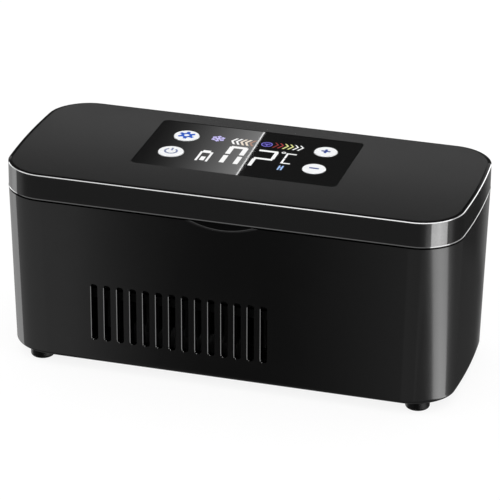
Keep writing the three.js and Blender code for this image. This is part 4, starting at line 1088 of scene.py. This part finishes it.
def screw(node, head_radius, head_height, shank, countersunk):
    low, high = node_box(node)
    middle = node_middle(node)
    under = low.z + head_height
    profile = [(0, low.z), (head_radius - SCREW_EDGE, low.z)]
    if countersunk:
        profile += [(head_radius, low.z + SCREW_EDGE / 2), (shank, under)]
    else:
        profile += [(head_radius, low.z + SCREW_EDGE), (head_radius, under), (shank, under)]
    profile += [(shank, high.z - SCREW_EDGE), (shank - SCREW_EDGE, high.z), (0, high.z)]
    form = moved(turned(profile, ROD_SIDES), middle.x, middle.y)
    recesses = []
    for width, depth in ((RECESS_LENGTH, RECESS_WIDTH), (RECESS_WIDTH, RECESS_LENGTH)):
        outline = rounded_rectangle(width, depth, RECESS_ROUNDING, (middle.x, middle.y), RECESS_STEPS)
        recesses.append(prism(outline, low.z - CUT_MARGIN, low.z + RECESS_DEPTH))
    return cut(form, *recesses)


for corner in CORNERS:
    node = "foot_screw_" + corner
    add_piece(node + "_cross", screw(node, **FOOT_SCREW), "case", [steel_zinc], [node])
    node = "lid_screw_" + corner
    add_piece(node + "_cross", screw(node, **LID_SCREW), "lid", [steel_zinc], [node])

# Hinge pins
for side in ("left", "right"):
    node = "hinge_pin_" + side
    low, high = node_box(node)
    middle = node_middle(node)
    pin = rod_along_x((high.z - low.z) / 2, high.x - low.x, middle.x, middle.y, middle.z, KNUCKLE_EDGE)
    add_piece(node + "_rod", pin, "case", [steel_zinc], [node])


# Ribbon from the main board past the hinge to the display
RIBBON_BEND = 1.3
RIBBON_STEPS = 120
RIBBON_THICKNESS = 0.3
RIBBON_INSET = 0.1


def ribbon_path(low, high, front, rear):
    """Depths and heights along one face of the ribbon."""
    path = [(front, low)]
    path += quarter_turn((rear - RIBBON_BEND, low + RIBBON_BEND), RIBBON_BEND, 270)
    for step in range(1, RIBBON_STEPS):
        path.append((rear, low + RIBBON_BEND + (high - low - 2 * RIBBON_BEND) * step / RIBBON_STEPS))
    path += quarter_turn((rear - RIBBON_BEND, high - RIBBON_BEND), RIBBON_BEND, 0)
    path.append((front, high))
    return path


def display_ribbon():
    low, high = node_box("display_ribbon")
    faces = []
    for inset in (RIBBON_INSET, RIBBON_INSET + RIBBON_THICKNESS):
        faces.append(ribbon_path(low.z + inset, high.z - inset, low.y, high.y - inset))
    rings = []
    for outer, inner in zip(*faces):
        rings.append([(low.x, *outer), (high.x, *outer), (high.x, *inner), (low.x, *inner)])
    return loft(rings)


ribbon = add_piece(
    "display_ribbon_film", display_ribbon(), None, [ribbon_film], ["display_ribbon"]
)
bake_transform(ribbon)


# CAD nodes that keep their own form and get softened edges
def dress(material, edge, *node_names):
    """Gives nodes a material and rounds their edges by a width in millimetres."""
    for node in node_names:
        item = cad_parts[node]
        item.data.materials.clear()
        item.data.materials.append(material)
        item.data.shade_smooth()
        item.data.set_sharp_from_angle(angle=math.radians(SOFT_ANGLE))
        flat = item.modifiers.new("flat faces", "DECIMATE")
        flat.decimate_type = "DISSOLVE"
        flat.angle_limit = math.radians(FLAT_ANGLE)
        soft = item.modifiers.new("soft edges", "BEVEL")
        soft.width = edge * MM
        soft.segments = 2
        soft.limit_method = "ANGLE"
        soft.angle_limit = math.radians(EDGE_ANGLE)
        shade_evenly(item)


def at_corners(name):
    return [name + corner for corner in CORNERS]


dress(inner_plastic, 0.3, "base_cover", "inner_deck", "lid_liner", "battery_cradle")
dress(inner_plastic, 0.2, "fan_frame", "fan_rotor", "charging_socket", *[key + "_switch" for key in KEYS])
dress(block_aluminium, 0.3, "cold_block")
dress(sink_anodised, 0.15, "heat_sink")
dress(peltier_ceramic, 0.15, "peltier_module")
dress(bearing_bronze, 0.2, "fan_bearing")
dress(foam_black, 0.6, "tray_insulation", "lid_insulation")
dress(cell_sleeve, 0.6, "battery_cell_front", "battery_cell_rear")
dress(board_green, 0.15, "main_board", "display_board")
dress(display_glass, 0.2, "lcd_module")
dress(lead_red, 0.05, "peltier_lead_red")
dress(lead_black, 0.05, "peltier_lead_black", "fan_lead")
dress(steel_zinc, 0.25, *at_corners("fan_screw_"), "clamp_screw_left", "clamp_screw_right")
dress(nickel_plate, 0.2, "case_magnet_left", "case_magnet_right", "lid_magnet_left", "lid_magnet_right")


# Floor
WHITE_FLOOR_SIZE = 12
FLOOR_GREY = 0.15
FLOOR_GLOW = 0.87


def white_floor():
    mesh = bpy.data.meshes.new("white_floor")
    half = WHITE_FLOOR_SIZE / 2
    corners = [(-half, -half, 0), (half, -half, 0), (half, half, 0), (-half, half, 0)]
    mesh.from_pydata(corners, [], [(0, 1, 2, 3)])
    floor = placed("white_floor", mesh)
    floor.visible_glossy = False
    material = bpy.data.materials.new("white paper")
    material.use_nodes = True
    tree = material.node_tree
    camera_ray = add_node(tree, "LightPath", {}).outputs["Is Camera Ray"]
    surface = {
        "Base Color": (*grey(FLOOR_GREY), 1),
        "Roughness": 1,
        "Specular IOR Level": 0,
        "Emission Color": (1, 1, 1, 1),
        "Emission Strength": calculated(tree, "MULTIPLY", camera_ray, FLOOR_GLOW),
    }
    fill(tree, tree.nodes["Principled BSDF"], surface)
    mesh.materials.append(material)


white_floor()


# Cards behind the case that show only in reflections
def studio_card(name, corners, glows, strength, power, lit_piece):
    """A card of quads side by side, whose glow passes from edge to edge and falls on one piece only."""
    mesh = bpy.data.meshes.new(name)
    quads = [(i, i + 1, i + 3, i + 2) for i in range(0, len(corners) - 2, 2)]
    mesh.from_pydata([tuple(part * MM for part in corner) for corner in corners], [], quads)
    glow = mesh.attributes.new("glow", "FLOAT", "POINT")
    glow.data.foreach_set("value", glows)
    card = placed(name, mesh)
    card.visible_camera = False
    card.visible_diffuse = False
    card.visible_transmission = False
    card.visible_shadow = False
    lit_pieces = bpy.data.collections.new(name)
    lit_pieces.objects.link(lit_piece)
    card.light_linking.receiver_collection = lit_pieces
    material = bpy.data.materials.new(name)
    material.use_nodes = True
    tree = material.node_tree
    tree.nodes.remove(tree.nodes["Principled BSDF"])
    reading = add_node(tree, "Attribute", {})
    reading.attribute_name = "glow"
    curve = calculated(tree, "POWER", reading.outputs["Fac"], power)
    light = add_node(tree, "Emission", {"Strength": calculated(tree, "MULTIPLY", curve, strength)})
    clear = add_node(tree, "BsdfTransparent", {})
    both = add_node(tree, "AddShader", {0: light.outputs[0], 1: clear.outputs[0]})
    fill(tree, tree.nodes["Material Output"], {"Surface": both.outputs[0]})
    mesh.materials.append(material)


CARD_Y = 300
CARD_LOW = 199
CARD_HIGH = 239
CARD_LEVEL = 205.6
CARD_SLANT = -0.571
# Where each edge crosses the card's level, and its glow
CARD_EDGES = ((-148, 0), (-139, 0), (-78.5, 1), (-78.45, 2.3), (-77.85, 2.3), (-77.8, 0), (2, 0))
CARD_STRENGTH = 1.27
CARD_POWER = 2.1


def leaning_edge(x):
    """Lower and upper end of a leaning edge of the card, given where it crosses the card's level."""
    return [(x + CARD_SLANT * (z - CARD_LEVEL), CARD_Y, z) for z in (CARD_LOW, CARD_HIGH)]


card_corners = []
card_glows = []
for x, glow in CARD_EDGES:
    card_corners += leaning_edge(x)
    card_glows += [glow, glow]
studio_card("panel_card", card_corners, card_glows, CARD_STRENGTH, CARD_POWER, panel)

REAR_CARD_Y = 380
REAR_CARD_ENDS = (-420, 120)
REAR_CARD_LOW = 226
REAR_CARD_HIGH = 292
REAR_CARD_STRENGTH = 0.7
REAR_CARD_POWER = 1.5
rear_corners = []
rear_glows = []
for x in REAR_CARD_ENDS:
    rear_corners += [(x, REAR_CARD_Y, REAR_CARD_LOW), (x, REAR_CARD_Y, REAR_CARD_HIGH)]
    rear_glows += [1, 0]
studio_card("rear_card", rear_corners, rear_glows, REAR_CARD_STRENGTH, REAR_CARD_POWER, lid)


# Studio light by direction: azimuth in degrees from the front, positive to the right, then brightness
BODY_LIGHT = (
    (-180, 0.35), (-150, 0.32), (-135, 0.68), (-115, 1.3), (-98.5, 2.1), (-97, 0.6), (-70, 0.58), (-45, 0.62),
    (-21, 0.64), (-12.5, 0.41), (15, 0.41), (25, 0.6), (32, 1), (38, 1.3), (40.5, 4.6), (62, 5.5), (88, 3.9),
    (91, 1.15), (99, 0.95), (108, 0.6), (123, 0.35), (140, 0.2), (160, 0.09), (169, 0.072), (173, 0.08),
    (176, 0.14), (180, 0.5),
)
# A limit on the light that the flat front mirrors
NO_LIMIT = 30
FRONT_LIGHT = (
    (-21, NO_LIMIT), (-20.9, 0.62), (-20.4, 0.6), (-19.9, 0.46), (-19.4, 0.36), (-19, 0.256), (-18.5, 0.157),
    (-17.5, 0.122), (-17, 0.092), (-15.6, 0.092), (-15.1, 0.122), (-14.6, 0.157), (-14.1, 0.226),
    (-13.7, 0.27), (-13.2, 0.38), (-12.6, 0.41), (-12.5, NO_LIMIT),
)
LID_BAND_LIGHT = (
    (-180, 0.4), (-140, 0.6), (-120, 1), (-100, 2.5), (-91.5, 2.9), (-90, 0.7), (-78, 0.68), (-60, 0.31),
    (-50, 0.26), (10, 0.26), (22, 0.45), (30, 1), (39, 2), (84.5, 1.3), (94, 1.1), (102, 0.48), (110, 0.24),
    (130, 0.13), (150, 0.07), (168, 0.05), (172, 0.1), (180, 0.4),
)
SIDE_LIGHT = (
    (-180, 0.3), (-140, 0.4), (-108, 1.2), (-96, 1.2), (-84, 0.45), (-40, 0.5), (0, 0.3), (35, 0.45),
    (50, 1.2), (62, 1.2), (74, 0.45), (120, 0.4), (160, 0.3), (180, 0.3),
)
UPPER_LIGHT = 0.06
FLOOR_LIGHT = 0.25
DOME_LOW = 0.55
DOME_HIGH = 1.2

# Elevations in degrees between which one ring of light passes into the next
FLOOR_TO_BODY = (-34, -31.5)
BODY_TO_LID_BAND = (-25.5, -25)
LID_BAND_TO_SIDE = (-22.6, -22.2)
SIDE_TO_UPPER = (0, 4)
DOME_SPAN = (-60, 60)

# The lid corner's bright strip, as high as the lid's wall mirrors it
LID_STRIP_HEIGHT = ((-180, -24.4), (180, -24.4))
LID_STRIP_LIGHT = ((-180, 0), (39, 0), (41.5, 11.4), (62, 13.4), (82.5, 9.1), (84.5, 0), (180, 0))
LID_STRIP_HALF_WIDTH = 0.6
LID_STRIP_SOFT_EDGE = 0.3

# Narrow glints along the lid's edges: elevation by azimuth, then brightness by azimuth
BEVEL_GLINT_HEIGHT = (
    (-180, -30), (-142, -5), (-127, 8.6), (-110, 22.3), (-91, 35.8), (-68, 48.5), (-33, 61.3), (20, 65.7),
    (64, 60.4), (95, 50.1), (119, 37.7), (138.5, 24.4), (156, 10.5), (172, -3.4), (180, -10),
)
BEVEL_GLINT_LIGHT = (
    (-180, 0), (-132, 0), (-126, 9), (-95, 9), (-88, 17), (-40, 17), (-25, 26), (108, 26), (116, 10),
    (164, 10), (168, 0), (180, 0),
)
SEAM_GLINT_HEIGHT = (
    (-180, -26), (-158, -21), (-130, -15), (-103, -9.5), (-75, -3.8), (-56, -1), (-37, 0), (-15, 0.5), (8, 1),
    (27, 2.5), (46, 3.4), (74.5, 0.5), (103, -3.7), (130, -9.2), (152, -14), (165, -15), (180, -15),
)
SEAM_GLINT_LIGHT = (
    (-180, 0), (-132, 0), (-126, 8), (-88, 8), (-80, 0.5), (-60, 2.4), (30, 2.4), (36, 4), (92, 7), (108, 6),
    (125, 4), (164, 4), (168, 0), (180, 0),
)
CORNER_SEAM_LIGHT = ((-180, 0), (36, 0), (40, 22), (84, 22), (92, 0), (180, 0))
CORNER_SEAM_HALF_WIDTH = 2
BEVEL_GLINT_HALF_WIDTH = 2.5
SEAM_GLINT_HALF_WIDTH = 5
GLINT_SOFT_EDGE = 2

# The body corner's bright strip leans: azimuths where the lean fades in and out, its slope and its level
BODY_STRIP_FADE_IN = (20, 32)
BODY_STRIP_FADE_OUT = (140, 105)
BODY_STRIP_LEAN = 620
BODY_STRIP_LEVEL = -0.4633


def studio_world():
    """White for the camera, a plain dome for matt surfaces and a studio for reflections."""
    world = bpy.data.worlds.new("studio")
    bpy.context.scene.world = world
    world.use_nodes = True
    world.cycles.sampling_method = "NONE"
    tree = world.node_tree
    direction = add_node(tree, "TexCoord", {}).outputs["Generated"]
    parts = add_node(tree, "SeparateXYZ", {0: direction}).outputs
    backward = calculated(tree, "MULTIPLY", parts["Y"], -1)
    azimuth = calculated(tree, "DEGREES", calculated(tree, "ARCTAN2", parts["X"], backward))
    elevation = calculated(tree, "DEGREES", calculated(tree, "ARCSINE", parts["Z"]))
    turn = calculated(tree, "DIVIDE", calculated(tree, "ADD", azimuth, 180), 360)
    above_level = calculated(tree, "SUBTRACT", parts["Z"], BODY_STRIP_LEVEL)
    lean = calculated(tree, "MULTIPLY", above_level, BODY_STRIP_LEAN / 360)
    fade_in = share_between(tree, azimuth, *BODY_STRIP_FADE_IN)
    fade_out = share_between(tree, azimuth, *BODY_STRIP_FADE_OUT)
    strip = calculated(tree, "MULTIPLY", fade_in, fade_out)
    leaning = calculated(tree, "ADD", turn, calculated(tree, "MULTIPLY", lean, strip))

    def light_ring(stops, position=turn):
        ramp = add_node(tree, "ValToRGB", {"Fac": position})
        elements = ramp.color_ramp.elements
        while len(elements) < len(stops):
            elements.new(0.5)
        for element, (angle, level) in zip(elements, stops):
            element.position = (angle + 180) / 360
            element.color = (*grey(level), 1)
        return ramp.outputs["Color"]

    def blended(lower, upper, start, end):
        """Passes from the lower light to the upper between two elevations in degrees."""
        limits = [math.sin(math.radians(angle)) for angle in (start, end)]
        return mixed(tree, share_between(tree, parts["Z"], *limits), lower, upper)

    def with_glint(under, heights, levels, half_width, soft_edge=GLINT_SOFT_EDGE):
        """Adds a narrow light that rises and falls with the azimuth."""
        rise = light_ring([(angle, (height + 90) / 180) for angle, height in heights])
        middle = calculated(tree, "MULTIPLY_ADD", rise, 180, -90)
        distance = calculated(tree, "ABSOLUTE", calculated(tree, "SUBTRACT", elevation, middle))
        inside = share_between(tree, distance, half_width + soft_edge, half_width)
        return mixed(tree, inside, under, light_ring(levels), "LIGHTEN")

    front = mixed(tree, 1, light_ring(BODY_LIGHT, leaning), light_ring(FRONT_LIGHT), "DARKEN")
    body_light = blended((*grey(FLOOR_LIGHT), 1), front, *FLOOR_TO_BODY)
    low_light = blended(body_light, light_ring(LID_BAND_LIGHT), *BODY_TO_LID_BAND)
    side_light = blended(low_light, light_ring(SIDE_LIGHT), *LID_BAND_TO_SIDE)
    upper_light = blended(side_light, (*grey(UPPER_LIGHT), 1), *SIDE_TO_UPPER)
    strip_light = with_glint(
        upper_light, LID_STRIP_HEIGHT, LID_STRIP_LIGHT, LID_STRIP_HALF_WIDTH, LID_STRIP_SOFT_EDGE
    )
    corner_light = with_glint(strip_light, SEAM_GLINT_HEIGHT, CORNER_SEAM_LIGHT, CORNER_SEAM_HALF_WIDTH)
    seam_light = with_glint(corner_light, SEAM_GLINT_HEIGHT, SEAM_GLINT_LIGHT, SEAM_GLINT_HALF_WIDTH)
    reflected = with_glint(seam_light, BEVEL_GLINT_HEIGHT, BEVEL_GLINT_LIGHT, BEVEL_GLINT_HALF_WIDTH)
    dome = blended((*grey(DOME_LOW), 1), (*grey(DOME_HIGH), 1), *DOME_SPAN)

    path = add_node(tree, "LightPath", {}).outputs
    lit = mixed(tree, path["Is Glossy Ray"], dome, reflected)
    shown = mixed(tree, path["Is Camera Ray"], lit, (1, 1, 1, 1))
    fill(tree, tree.nodes["Background"], {"Color": shown})


studio_world()


# Camera
CAMERA_PLACE = Vector((0.34552, -1.20513, 0.62447))
CAMERA_AZIMUTH = math.radians(15.981)
CAMERA_ELEVATION = math.radians(24.720)
CAMERA_ROLL = math.radians(0.566)
CAMERA_LENS = 229.56


def aim_camera():
    level = math.cos(CAMERA_ELEVATION)
    left_share = -math.sin(CAMERA_AZIMUTH) * level
    rear_share = math.cos(CAMERA_AZIMUTH) * level
    forward = Vector((left_share, rear_share, -math.sin(CAMERA_ELEVATION)))
    right = Vector((math.cos(CAMERA_AZIMUTH), math.sin(CAMERA_AZIMUTH), 0))
    up = right.cross(forward)
    tilted_right = math.cos(CAMERA_ROLL) * right + math.sin(CAMERA_ROLL) * up
    tilted_up = math.cos(CAMERA_ROLL) * up - math.sin(CAMERA_ROLL) * right
    data = bpy.data.cameras.new("camera")
    data.sensor_width = 36
    data.lens = CAMERA_LENS
    data.clip_end = 100
    camera = placed("camera", data)
    turn = Matrix((tilted_right, tilted_up, -forward)).transposed()
    camera.matrix_world = Matrix.Translation(CAMERA_PLACE) @ turn.to_4x4()
    bpy.context.scene.camera = camera


aim_camera()
bpy.context.scene.view_settings.view_transform = "Standard"
